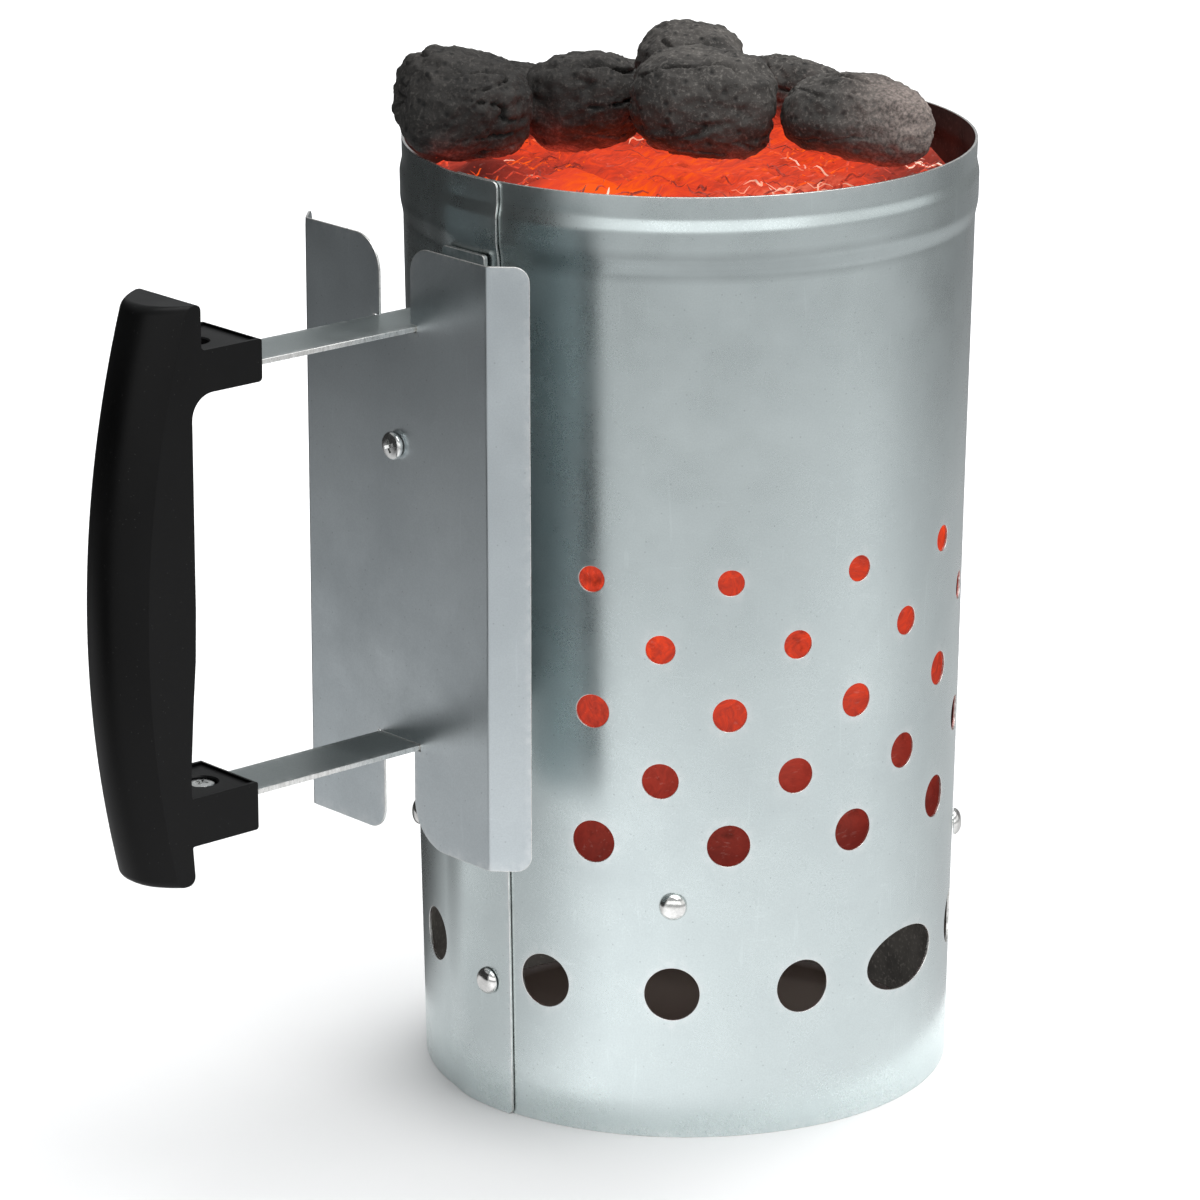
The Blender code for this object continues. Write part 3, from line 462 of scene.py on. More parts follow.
class Nodes:
    """Shorthand for the nodes of one material. Textures run in metres, in the piece's own space."""

    def __init__(self, name):
        self.material = bpy.data.materials.new(name)
        self.material.use_nodes = True
        self.tree = self.material.node_tree
        self.shader = self.tree.nodes["Principled BSDF"]
        self.space = self.add("ShaderNodeTexCoord").outputs["Object"]

    def add(self, kind, **settings):
        node = self.tree.nodes.new(kind)
        for key, value in settings.items():
            setattr(node, key, value)
        return node

    def feed(self, node, **sources):
        """Links sockets or sets plain values on the node's inputs, named with _ for a space."""
        for key, source in sources.items():
            numbered = key[0] == "i" and key[1:].isdigit()
            target = node.inputs[int(key[1:]) if numbered else key.replace("_", " ")]
            if isinstance(source, bpy.types.NodeSocket):
                self.tree.links.new(source, target)
            else:
                target.default_value = source
        return node

    def stretched(self, stretch):
        return self.feed(self.add("ShaderNodeMapping"), Vector=self.space, Scale=stretch).outputs[0]

    def noise(self, scale, detail=3.0, stretch=(1, 1, 1), roughness=0.55, distortion=0.0):
        node = self.add("ShaderNodeTexNoise")
        self.feed(node, Vector=self.stretched(stretch), Scale=scale, Detail=detail, Roughness=roughness,
                  Distortion=distortion)
        return node.outputs["Fac"]

    def cells(self, scale, output="Distance"):
        return self.feed(self.add("ShaderNodeTexVoronoi"), Vector=self.space, Scale=scale).outputs[output]

    def ramp(self, factor, low, high, start=0.0, end=1.0):
        """Maps low..high to start..end, clamped."""
        node = self.add("ShaderNodeMapRange", clamp=True)
        self.feed(node, i0=factor, i1=low, i2=high, i3=start, i4=end)
        return node.outputs[0]

    def math(self, operation, a, b=0.0):
        return self.feed(self.add("ShaderNodeMath", operation=operation), i0=a, i1=b).outputs[0]

    def times(self, a, b):
        return self.math("MULTIPLY", a, b)

    def plus(self, a, b):
        return self.math("ADD", a, b)

    def tint(self, factor, low, high, a, b):
        """Colour a where the factor is below low and b where it is above high."""
        return self.mix(self.ramp(factor, low, high), a, b)

    def mix(self, factor, a, b, blend="MIX"):
        node = self.add("ShaderNodeMix", data_type="RGBA", blend_type=blend)
        a, b = (value if isinstance(value, bpy.types.NodeSocket) else (*value, 1.0) for value in (a, b))
        self.feed(node, i0=factor, i6=a, i7=b)
        return node.outputs[2]

    def axis(self, name):
        return self.feed(self.add("ShaderNodeSeparateXYZ"), i0=self.space).outputs[name]

    def height(self):
        return self.axis("Z")

    def attribute(self, name):
        return self.add("ShaderNodeAttribute", attribute_name=name).outputs["Fac"]

    def bump(self, height, strength, distance, normal=None):
        node = self.feed(self.add("ShaderNodeBump"), Height=height, Strength=strength, Distance=distance)
        if normal:
            self.feed(node, Normal=normal)
        return node.outputs["Normal"]

    def finish(self, base, roughness, **surface):
        self.feed(self.shader, Base_Color=base, Roughness=roughness, **surface)
        return self.material

    def scratches(self, scale, stretch, threshold):
        """Thin sparse lines, 0 to 1."""
        return self.ramp(self.noise(scale, 2.0, stretch, 0.4, 0.6), threshold, threshold + 0.03)


# Materials


def scaled(colour, factor):
    return [min(1.0, channel * factor) for channel in colour]


def zinc_sheet(name, colour, shade, roughness, wear_gain=0.5, painted_shade=None):
    """Galvanised sheet: cloudy tone, faint spangle, grain, hairline scratches, paler edges and an optional band
    of painted shade.
    """
    nodes = Nodes(name)
    clouds = nodes.noise(16.0, 3.0)
    spangle = nodes.cells(210.0, "Color")
    grain = nodes.noise(2300.0, 2.0)
    tone = nodes.ramp(clouds, 0.3, 0.7)
    base = nodes.mix(tone, shade, colour)
    base = nodes.mix(nodes.ramp(spangle, 0.0, 1.0, 0.0, 0.16), base, scaled(colour, 1.12))
    base = nodes.mix(nodes.ramp(grain, 0.35, 0.65, 0.0, 0.22), base, scaled(shade, 0.80))
    hairs = nodes.math("MAXIMUM", nodes.scratches(60.0, (9, 9, 0.6), 0.70),
                       nodes.scratches(75.0, (1.2, 1.2, 12), 0.72))
    base = nodes.mix(nodes.times(hairs, 0.10), base, scaled(colour, 1.35))
    specks = nodes.ramp(nodes.cells(320.0), 0.05, 0.10, 0.35, 0.0)
    base = nodes.mix(specks, base, scaled(shade, 0.45))
    worn = nodes.times(nodes.attribute("edge_wear"), nodes.ramp(nodes.noise(420.0, 3.0), 0.35, 0.75))
    base = nodes.mix(nodes.times(worn, wear_gain), base, (0.86, 0.88, 0.88))
    # Painted shade: an optional darker band painted into the colour, here the dark reflection under the bead.
    if painted_shade:
        base = nodes.mix(painted_shade_band(nodes, *painted_shade), base, scaled(shade, 0.55))
    rough = nodes.ramp(nodes.noise(55.0, 4.0), 0.25, 0.75, roughness - 0.05, roughness + 0.06)
    rough = nodes.plus(rough, nodes.ramp(grain, 0.3, 0.7, -0.03, 0.03))
    pores = nodes.bump(grain, 0.10, 0.05 * MM)
    return nodes.finish(base, rough, Metallic=1.0,
                        Normal=nodes.bump(nodes.noise(140.0, 2.0), 0.05, 0.4 * MM, pores))


def sooty_sheet_with_painted_glow():
    """Zinc under a coat of soot that is thinner in patches, with painted light: low on the wall the soot colour
    glows, fading out upwards.
    """
    nodes = Nodes("sooty_inside_painted_glow")
    coat = nodes.ramp(nodes.noise(70.0, 5.0), 0.3, 0.7)
    base = nodes.mix(coat, (0.020, 0.019, 0.018), (0.048, 0.045, 0.041))
    base = nodes.mix(nodes.ramp(nodes.noise(900.0, 3.0), 0.55, 0.75, 0.0, 0.5), base, (0.13, 0.12, 0.11))
    return nodes.finish(base, nodes.ramp(coat, 0.0, 1.0, 0.85, 0.6), Metallic=0.25,
                        Specular_IOR_Level=0.3, Normal=nodes.bump(nodes.noise(700.0, 3.0), 0.2, 0.1 * MM),
                        # Painted light: the soot colour glows low on the wall, fading out between 60 and 120 mm.
                        Emission_Color=base,
                        Emission_Strength=nodes.ramp(nodes.height(), 60 * MM, 120 * MM, 0.85, 0.0))


def painted_shade_band(nodes, low, high, strength):
    """Uneven band of painted shade between two heights, standing in for the dark reflection on the bead's lower
    slope, fading out away from the handle.
    """
    soft = (high - low) * 0.35
    rise = nodes.ramp(nodes.height(), low - soft, low + soft)
    fall = nodes.ramp(nodes.height(), high - soft, high + soft, 1.0, 0.0)
    patchy = nodes.ramp(nodes.noise(45.0, 4.0), 0.3, 0.7, 0.75 * strength, strength)
    away = nodes.ramp(nodes.axis("X"), AXIS.x - 15 * MM, AXIS.x + 35 * MM, 1.0, 0.1)
    patchy = nodes.times(patchy, away)
    return nodes.times(nodes.times(rise, fall), patchy)


def cut_edge():
    """Bare bright steel with fine shear marks across its thickness."""
    nodes = Nodes("sheared_edge")
    marks = nodes.noise(900.0, 2.0, (1, 1, 0.3))
    base = nodes.tint(marks, 0.3, 0.7, (0.62, 0.62, 0.60), (0.90, 0.90, 0.88))
    rough = nodes.ramp(nodes.noise(1500.0), 0.3, 0.7, 0.24, 0.40)
    return nodes.finish(base, rough, Metallic=1.0,
                        Normal=nodes.bump(marks, 0.3, 0.04 * MM))


def plated(name, colour, roughness, dents=0.10):
    """Near mirror with soft dents, tiny nicks and duller patches."""
    nodes = Nodes(name)
    patches = nodes.noise(500.0, 3.0)
    base = nodes.tint(patches, 0.3, 0.7, scaled(colour, 0.78), colour)
    nicks = nodes.ramp(nodes.cells(1400.0), 0.06, 0.12, 0.5, 0.0)
    base = nodes.mix(nicks, base, (0.20, 0.20, 0.19))
    rough = nodes.ramp(patches, 0.25, 0.75, roughness * 0.75, roughness * 1.6)
    grain = nodes.bump(nodes.noise(4200.0, 1.0), 0.08, 0.03 * MM)
    return nodes.finish(base, rough, Metallic=1.0,
                        Normal=nodes.bump(nodes.noise(420.0, 1.0), dents, 0.25 * MM, grain))


def moulded_plastic():
    """Black plastic: fine spark texture, pale dust specks and a few handling rubs."""
    nodes = Nodes("moulded_black_plastic")
    texture = nodes.noise(2600.0, 2.0)
    rubs = nodes.noise(38.0, 4.0, (1, 1, 0.5))
    base = nodes.tint(rubs, 0.35, 0.75, (0.0014, 0.0014, 0.0015), (0.0032, 0.0032, 0.0034))
    dust = nodes.ramp(nodes.cells(560.0), 0.035, 0.07, 0.55, 0.0)
    base = nodes.mix(dust, base, (0.10, 0.10, 0.095))
    rough = nodes.ramp(rubs, 0.3, 0.7, 0.36, 0.48)
    return nodes.finish(base, rough, Specular_IOR_Level=0.17,
                        Normal=nodes.bump(texture, 0.30, 0.06 * MM))


def grate_steel():
    """Brown-grey fire scale with bluish patches and ash."""
    nodes = Nodes("scaled_grate_steel")
    patches = nodes.noise(60.0, 5.0)
    base = nodes.tint(patches, 0.35, 0.65, (0.14, 0.12, 0.11), (0.34, 0.33, 0.34))
    ash = nodes.ramp(nodes.noise(240.0, 4.0), 0.55, 0.75, 0.0, 0.6)
    base = nodes.mix(ash, base, (0.42, 0.41, 0.39))
    rough = nodes.ramp(patches, 0.3, 0.7, 0.5, 0.75)
    return nodes.finish(base, rough, Metallic=0.8,
                        Normal=nodes.bump(nodes.noise(900.0, 3.0), 0.25, 0.1 * MM))


def glow_colour(nodes, heat):
    """Ember colour from 0, a dying crimson, to 1, bright orange."""
    low = nodes.tint(heat, 0.0, 0.45, (0.07, 0.010, 0.009), (0.42, 0.042, 0.026))
    high = nodes.tint(heat, 0.45, 0.8, low, (0.82, 0.062, 0.022))
    return nodes.tint(heat, 0.8, 1.1, high, (1.0, 0.105, 0.006))


def charcoal():
    """Near black with grey dust, lighter crumbs and an orange glow creeping up from below."""
    nodes = Nodes("pressed_charcoal")
    patches = nodes.noise(70.0, 5.0)
    crumbs = nodes.noise(900.0, 4.0, roughness=0.7)
    base = nodes.tint(patches, 0.35, 0.7, (0.018, 0.0165, 0.015), (0.060, 0.055, 0.050))
    base = nodes.mix(nodes.ramp(crumbs, 0.52, 0.72, 0.0, 0.75), base, (0.175, 0.163, 0.150))
    # Painted shade and light: the coals are darker on the shield's side of the heap and lighter past its middle.
    base = nodes.mix(1.0, base, painted_side_light(nodes), "MULTIPLY")
    pits = nodes.ramp(nodes.cells(300.0), 0.10, 0.32, 0.85, 0.0)
    base = nodes.mix(pits, base, (0.005, 0.005, 0.005))
    level = nodes.plus(nodes.height(), nodes.ramp(nodes.noise(85.0, 4.0), 0.3, 0.7, -5.0 * MM, 5.0 * MM))
    heat = nodes.ramp(level, LOAD_TOP + 4 * MM, LOAD_TOP + 20 * MM, 1.0, 0.0)
    ash = nodes.plus(nodes.times(heat, 0.42), near_place(nodes, ASHEN_COAL_END, 8 * MM, 27 * MM, 0.75))
    base = nodes.mix(nodes.times(ash, nodes.ramp(crumbs, 0.38, 0.60, 0.25, 1.0)), base, (0.36, 0.29, 0.26))
    heat = nodes.math("POWER", heat, 1.6)
    surface = nodes.bump(crumbs, 0.7, 0.5 * MM)
    return nodes.finish(base, nodes.ramp(crumbs, 0.3, 0.7, 0.62, 0.92),
                        Specular_IOR_Level=0.35, Normal=nodes.bump(pits, 0.5, -0.6 * MM, surface),
                        Emission_Color=glow_colour(nodes, nodes.times(heat, 0.75)),
                        Emission_Strength=nodes.times(heat, nodes.ramp(crumbs, 0.3, 0.65, 0.35, 1.0)))


def painted_side_light(nodes):
    """Factor on the coals' colour: painted shade on the shield's side of the heap and painted light past its
    middle.
    """
    along = nodes.feed(nodes.add("ShaderNodeVectorMath", operation="DOT_PRODUCT"), i0=nodes.space, i1=HEAP_SIDE)
    middle = AXIS.dot(HEAP_SIDE)
    return nodes.ramp(along.outputs["Value"], middle - 36 * MM, middle + 4 * MM, 0.56, 1.22)


def embers():
    """Streaked red and orange, hotter towards the top, with dark crust and pale ash."""
    nodes = Nodes("glowing_embers")
    streaks = nodes.noise(210.0, 5.0, (0.5, 1.6, 0.9), 0.65, 1.5)
    patches = nodes.noise(34.0, 3.0)
    level = nodes.plus(nodes.ramp(nodes.height(), 84 * MM, 148 * MM, 0.10, 0.70),
                       nodes.ramp(nodes.height(), 148 * MM, 168 * MM, 0.0, -0.10))
    level = nodes.plus(level, nodes.ramp(nodes.height(), 180 * MM, LOAD_TOP, 0.0, 0.18))
    heat = nodes.times(level, nodes.ramp(streaks, 0.30, 0.68, 0.66, 1.24))
    heat = nodes.times(heat, nodes.ramp(patches, 0.3, 0.65, 0.72, 1.18))
    cold = nodes.math("MAXIMUM", near_place(nodes, COLD_LEFT, 10 * MM, 44 * MM, 0.95),
                      near_place(nodes, COLD_RIGHT, 10 * MM, 32 * MM, 0.90))
    heat = nodes.times(heat, nodes.math("SUBTRACT", 1.0, cold))
    heat = nodes.plus(heat, near_place(nodes, HOTTEST, 6 * MM, 38 * MM, 0.50))
    calm = nodes.math("SUBTRACT", 1.0, near_place(nodes, HOTTEST, 10 * MM, 32 * MM, 0.9))
    crust = nodes.times(nodes.ramp(nodes.noise(150.0, 5.0, roughness=0.65), 0.56, 0.74), calm)
    ash = nodes.ramp(nodes.noise(480.0, 4.0, (0.4, 1.5, 1.5)), 0.60, 0.72, 0.0, 0.35)
    ash = nodes.times(ash, calm)
    base = nodes.mix(ash, (0.022, 0.011, 0.008), (0.34, 0.27, 0.24))
    pale = nodes.times(near_place(nodes, ASHEN, 8 * MM, 28 * MM, 1.0), nodes.ramp(streaks, 0.35, 0.6))
    glow = nodes.math("SUBTRACT", 1.0, nodes.times(crust, 0.55))
    return nodes.finish(base, 0.9, Specular_IOR_Level=0.05,
                        Emission_Color=nodes.mix(pale, glow_colour(nodes, heat), (0.82, 0.21, 0.13)),
                        Emission_Strength=glow, Normal=nodes.bump(streaks, 0.6, 0.8 * MM))


def near_place(nodes, place, inner, outer, amount):
    """The amount within the inner distance of a place, fading to nothing at the outer one."""
    away = nodes.feed(nodes.add("ShaderNodeVectorMath", operation="DISTANCE"), i0=nodes.space, i1=place)
    return nodes.ramp(away.outputs["Value"], inner, outer, amount, 0.0)


def ember_fibre():
    """Each sliver has its own heat, from ashen pink to yellow."""
    nodes = Nodes("glowing_slivers")
    tone = nodes.attribute("tone")
    flicker = nodes.noise(520.0, 3.0)
    heat = nodes.times(nodes.ramp(tone, 0.0, 0.8, 0.30, 1.15), nodes.ramp(flicker, 0.3, 0.7, 0.6, 1.2))
    ashen = nodes.ramp(tone, 0.84, 0.90)
    glow = nodes.mix(ashen, glow_colour(nodes, heat), (0.80, 0.36, 0.24))
    base = nodes.mix(ashen, (0.05, 0.02, 0.015), (0.55, 0.45, 0.40))
    return nodes.finish(base, 0.85, Emission_Color=glow,
                        Emission_Strength=nodes.ramp(flicker, 0.25, 0.7, 0.45, 1.2))


# Body


def wall_radius(height):
    return BASE_RADIUS + TAPER * height


def bead(height):
    """How far the bead under the rim stands out."""
    foot, crest, crest_end, foot_end = [BODY_HEIGHT - below for below in BEAD_BELOW_RIM]
    return BEAD_HEIGHT * (smooth_step(height, foot, crest) - smooth_step(height, crest_end, foot_end))


def lap_shift(angle):
    """How far the sheet stands out where its last stretch climbs over its own start."""
    over_start = LAP_START + tau
    return (SHEET + GAP) * smooth_step(angle, over_start - LAP_RAMP, over_start)


def rolling_waves(angle, height):
    """Shallow unevenness, the same on both layers of the seam."""
    waves = np.sin(3 * angle + 21 * height + 0.7) + 0.6 * np.sin(5 * angle - 33 * height)
    return SHELL_WAVE * (waves + 0.5 * np.sin(8 * angle + 55 * height + 1.9))


def place_on_body(u, v, depth):
    angle = u / MEAN_RADIUS
    radius = wall_radius(v) + bead(v) + lap_shift(angle) + rolling_waves(angle, v) - depth
    return np.column_stack((AXIS.x - radius * np.cos(angle), -radius * np.sin(angle), v))


def body_hole(angle, height, half_width, half_height):
    stretch = half_width / half_height * MEAN_RADIUS / wall_radius(height)
    return circle((angle * MEAN_RADIUS, height), half_height, stretch)


def vent_holes():
    """(angle, height, half width, half height) of every air hole."""
    for row, radius in enumerate(VENT_RADII):
        stagger = (row % 2) / 2
        for index in range(VENTS_IN_LONG_ROW - row % 2):
            yield VENT_PITCH * (index + 1 + stagger), VENT_TOP_ROW - VENT_ROW_SPACING * row, radius, radius
    angles = [AIR_HOLE_START + VENT_PITCH * index for index in range(AIR_HOLES)]
    for index, angle in enumerate([*angles, AIR_HOLE_BEHIND_SEAM + tau]):
        size = LIGHTING_HOLE_SIZE if index == LIGHTING_HOLE_INDEX else (AIR_HOLE_RADIUS, AIR_HOLE_RADIUS)
        yield angle, AIR_HOLE_HEIGHT, *size


def spot(node):
    """Angle and height of a fastener's middle."""
    low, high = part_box(node)
    middle = (low + high) / 2 - AXIS
    return atan2(-middle.y, -middle.x), middle.z


def body_bores():
    """(angle, height) of every rivet and screw through the wall, on each layer that it crosses."""
    for node in [*RIVETS, "shield_screw"]:
        angle, height = spot(node)
        for turn in (0.0, tau):
            if LAP_START < angle + turn < LAP_END:
                yield angle + turn, height


def build_body():
    left, right = LAP_START * MEAN_RADIUS, LAP_END * MEAN_RADIUS
    outline = rounded_outline([(left, 0.0, SHEET_CORNER), (right, 0.0, SHEET_CORNER),
                               (right, BODY_HEIGHT, SHEET_CORNER), (left, BODY_HEIGHT, SHEET_CORNER)])
    loops = [outline] + [body_hole(*hole) for hole in vent_holes()]
    loops += [body_hole(angle, height, BORE_RADIUS, BORE_RADIUS) for angle, height in body_bores()]
    columns = np.linspace(left, right, BODY_COLUMNS)
    bead_foot = BODY_HEIGHT - BEAD_BELOW_RIM[0]
    rows = np.concatenate([np.arange(BODY_GRID, bead_foot, BODY_GRID),
                           np.arange(bead_foot, BODY_HEIGHT, BEAD_GRID)])
    return sheet_piece("outer_shell_sheet", loops, grid_points(columns, rows), place_on_body, SHEET,
                       (BODY_ZINC, SOOT_AND_PAINTED_GLOW, EDGE))


# Heat shield


def place_on_shield(u, v, depth):
    """Web, fold arcs and flanges of the shield, with a slight bow of the web."""
    side = np.sign(u)
    past = np.maximum(np.abs(u) - SHIELD_WIDTH / 2, 0.0)
    turned = np.minimum(past / FOLD_RADIUS, FLANGE_ANGLE)
    straight = np.maximum(past - FOLD_RADIUS * FLANGE_ANGLE, 0.0)
    radius = FOLD_RADIUS - depth
    reach = SHIELD_FACE - FOLD_RADIUS + radius * np.cos(turned) - straight * np.sin(turned)
    across = np.minimum(np.abs(u), SHIELD_WIDTH / 2) + radius * np.sin(turned) + straight * np.cos(turned)
    bow = 0.12 * MM * np.sin(u * 95 + 0.8) * np.sin(v * 42 + 0.4)
    return np.column_stack((AXIS.x - reach - np.minimum(bow, 0.0), -side * across, v))


def notch_corners(side, slot_heights, edge_height, radii):
    """Corners of one notch with its cross slot, starting on the given side, -1 or 1."""
    first, last = radii
    floor, ceiling = slot_heights
    notch, slot = side * NOTCH_WIDTH / 2, side * (STRAP_WIDTH / 2 + GAP)
    return [(notch, edge_height, first), (notch, ceiling, 0), (slot, ceiling, 0), (slot, floor, 0),
            (-slot, floor, 0), (-slot, ceiling, 0), (-notch, ceiling, 0), (-notch, edge_height, last)]


def build_shield():
    edge = SHIELD_WIDTH / 2 + FLANGE_WIDTH
    top, bottom = SHIELD_HIGH.z, SHIELD_LOW.z
    upper_slot = (UPPER_STRAP_TOP - STRAP_THICKNESS - GAP, UPPER_STRAP_TOP + GAP)
    lower_slot = (LOWER_STRAP_TOP + GAP, LOWER_STRAP_TOP - STRAP_THICKNESS - GAP)
    corners = [(-edge, top, FLANGE_CORNER), *notch_corners(-1, upper_slot, top, NOTCH_CORNERS_TOP),
               (edge, top, FLANGE_CORNER), (edge, bottom, FLANGE_CORNER),
               *notch_corners(1, lower_slot, bottom, NOTCH_CORNERS_BOTTOM[::-1]), (-edge, bottom, FLANGE_CORNER)]
    outline = rounded_outline(corners)[::-1]
    bore = circle((0.0, spot("shield_screw")[1]), BORE_RADIUS)
    arc_length = FOLD_RADIUS * FLANGE_ANGLE
    fold_lines = SHIELD_WIDTH / 2 + np.linspace(-0.15 * MM, arc_length + 0.15 * MM, 7)
    flats = [np.linspace(-SHIELD_WIDTH / 2, SHIELD_WIDTH / 2, 32)[1:-1],
             SHIELD_WIDTH / 2 + np.linspace(arc_length, FLANGE_WIDTH, 6)[1:-1]]
    columns = np.concatenate([flats[0], flats[1], -flats[1], fold_lines, -fold_lines])
    rows = np.arange(bottom + 1.0 * MM, top, 2.5 * MM)
    return sheet_piece("heat_shield_plate", [outline, bore], grid_points(columns, rows), place_on_shield,
                       SHIELD_SHEET, (SHIELD_ZINC, SHIELD_ZINC, EDGE))


# Straps


def strap_placer(node, upward):
    """Bends a flat strip: out along the handle, then up or down the wall. u runs from the tip."""
    low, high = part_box(node)
    inner_side = low.z + STRAP_THICKNESS if upward else high.z - STRAP_THICKNESS
    way = 1 if upward else -1
    bend_reach = AXIS.x - high.x + STRAP_THICKNESS + STRAP_BEND
    straight = STRAP_TIP - bend_reach

    def place(u, v, depth):
        turned = np.clip((u - straight) / STRAP_BEND, 0.0, pi / 2)
        after = np.maximum(u - straight - STRAP_BEND * pi / 2, 0.0)
        radius = STRAP_BEND + depth
        reach = bend_reach + np.maximum(straight - u, 0.0) - radius * np.sin(turned)
        height = inner_side + way * (STRAP_BEND - radius * np.cos(turned) + after)
        return np.column_stack((AXIS.x - reach, v, height))

    return place, straight


def build_strap(node, upward):
    place, straight = strap_placer(node, upward)
    low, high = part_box(node)
    foot = high.z - low.z - STRAP_THICKNESS - STRAP_BEND
    length = straight + STRAP_BEND * pi / 2 + foot
    half = STRAP_WIDTH / 2
    outline = rounded_outline([(0, -half, 1.0 * MM), (length, -half, 1.2 * MM), (length, half, 1.2 * MM),
                               (0, half, 1.0 * MM)])
    rivet_height = spot(node.replace("strap", "foot_rivet"))[1]
    along_foot = rivet_height - low.z - STRAP_THICKNESS if upward else high.z - STRAP_THICKNESS - rivet_height
    rivet_at = straight + STRAP_BEND * (pi / 2 - 1) + along_foot
    loops = [outline, *(circle((u, 0.0), BORE_RADIUS) for u in (STRAP_TIP - HANDLE_SCREW_REACH, rivet_at))]
    bend = np.linspace(straight, straight + STRAP_BEND * pi / 2, 9)
    columns = np.concatenate([np.arange(2.0 * MM, straight, 2.5 * MM), bend,
                              np.arange(bend[-1], length, 2.0 * MM)[1:]])
    return sheet_piece(f"{node}_bar", loops, grid_points(columns, np.linspace(-half, half, 9)[1:-1]), place,
                       STRAP_THICKNESS, (STRAP_ZINC, STRAP_ZINC, EDGE), edge=0.25 * MM, steps=3)


# Grate


def grate_placer(radius):
    """Flat disc whose four tabs turn down past a small bend."""
    bend, fold = GRATE_SHEET, radius - GRATE_SHEET

    def place(u, v, depth):
        x, y, z = u.copy(), v.copy(), np.full(len(u), GRATE_HIGH.z) - depth
        for angle in TAB_ANGLES:
            p, q = rotated(u, v, -angle)
            tab = (np.abs(q) < (GRATE_TAB_WIDTH + TAB_RELIEF) / 2) & (p > fold)
            turned = np.clip((p - fold) / bend, 0.0, pi / 2)
            after = np.maximum(p - fold - bend * pi / 2, 0.0)
            across, along = rotated(fold + (bend - depth) * np.sin(turned), q, angle)
            x, y = np.where(tab, across, x), np.where(tab, along, y)
            z = np.where(tab, GRATE_HIGH.z - bend + (bend - depth) * np.cos(turned) - after, z)
        return np.column_stack((AXIS.x - x, -y, z))

    return place, fold


def grate_outline(radius, fold, length):
    """Circle with four tabs, each between two short relief cuts."""
    half = GRATE_TAB_WIDTH / 2
    cut_at = half + TAB_RELIEF
    points = []
    for angle, following in zip(TAB_ANGLES, [*TAB_ANGLES[1:], TAB_ANGLES[0] + tau]):
        tab = [(fold - 2 * MM, -cut_at), (fold - 2 * MM, -half), (fold + length, -half), (fold + length, half),
               (fold - 2 * MM, half), (fold - 2 * MM, cut_at)]
        points += [rotated(*point, angle) for point in tab]
        spread = asin(cut_at / radius)
        points += [rotated(radius, 0.0, a) for a in np.linspace(angle + spread, following - spread, 40)]
    return fill_loop(np.array(points), 1.5 * MM)


def build_grate():
    radius = max(np.hypot(v.co.x - AXIS.x, v.co.y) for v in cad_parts["charcoal_grate"].data.vertices
                 if v.co.z > GRATE_HIGH.z - 0.1 * MM)
    place, fold = grate_placer(radius)
    bend = GRATE_SHEET
    length = bend * pi / 2 + GRATE_TAB_DROP - bend
    rivet_drop = GRATE_HIGH.z - spot("grate_rivet_1")[1] - bend + bend * pi / 2
    loops = [grate_outline(radius, fold, length)]
    loops += [circle(rotated(ring_radius, 0.0, tau * index / count), GRATE_HOLE_RADIUS)
              for ring_radius, count in GRATE_HOLE_RINGS for index in range(count)]
    loops += [circle(rotated(fold + rivet_drop, 0.0, angle), BORE_RADIUS) for angle in TAB_ANGLES]
    spread = np.arange(-radius - length, radius + length, 3.0 * MM)
    folds = [rotated(fold + step, q, angle) for angle in TAB_ANGLES
             for step in np.linspace(0.0, bend * pi / 2, 4) for q in np.arange(-6.0, 6.5, 2.0) * MM]
    return sheet_piece("charcoal_grate_plate", loops, np.vstack([grid_points(spread, spread), folds]), place,
                       GRATE_SHEET, (GRATE_STEEL,) * 3)


# Fasteners

RIVETS = [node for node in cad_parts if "rivet" in node]


def build_rivet(node):
    """Domed head outside, shank through the sheets and a pressed tail inside."""
    radius, _, _ = polar(node)
    angle, height = spot(node)
    seat = radius.max() - RIVET_HEAD_HEIGHT
    length = seat - RIVET_TAIL_HEIGHT - radius.min()
    tail = -length - RIVET_TAIL_HEIGHT
    dome = [pi / 2 * step / 15 for step in range(1, 15)]
    profile = [(0.0, RIVET_HEAD_HEIGHT),
               *((HEAD_RADIUS * sin(a) ** 0.92, RIVET_HEAD_HEIGHT * cos(a)) for a in dome),
               *arc(HEAD_RADIUS - 0.2 * MM, 0.2 * MM, 0.2 * MM, 20, -90, 5),
               (SHANK_RADIUS, 0.0), (SHANK_RADIUS, -length),
               *arc(RIVET_TAIL_RADIUS - 0.3 * MM, -length - 0.3 * MM, 0.3 * MM, 90, 0, 4),
               *arc(RIVET_TAIL_RADIUS - 0.4 * MM, tail + 0.4 * MM, 0.4 * MM, 0, -90, 5),
               (1.2 * MM, tail), (0.9 * MM, tail + 0.5 * MM), (0.0, tail + 0.5 * MM)]
    rivet = new_piece(f"{node}_dome", finish_mesh(node, revolve(profile, AROUND), 40), RIVET_CHROME)
    rivet.data.transform(facing_out(angle, seat, height))
    return rivet


def screw_mesh(name, head_height, length):
    """Pan head on z = 0 with a rounded rim, and a shank with thread grooves and a narrower end."""
    crown, rim = head_height * 0.18, head_height * 0.42
    profile = [(HEAD_RADIUS * share, head_height - crown * share ** 2) for share in (0.0, 0.25, 0.5, 0.75)]
    profile += arc(HEAD_RADIUS - rim, rim, rim, 62, -62, 10)
    profile += [(HEAD_RADIUS - rim * 0.55, 0.0), (SHANK_RADIUS, 0.0)]
    for index in range(int((length - 1.5 * MM) / THREAD_PITCH)):
        z = -0.6 * MM - THREAD_PITCH * index
        profile += [(SHANK_RADIUS, z), (SHANK_RADIUS - THREAD_DEPTH, z - THREAD_PITCH / 2)]
    return finish_mesh(name, revolve([*profile, (SHANK_RADIUS * 0.6, -length), (0.0, -length)], AROUND), 35)


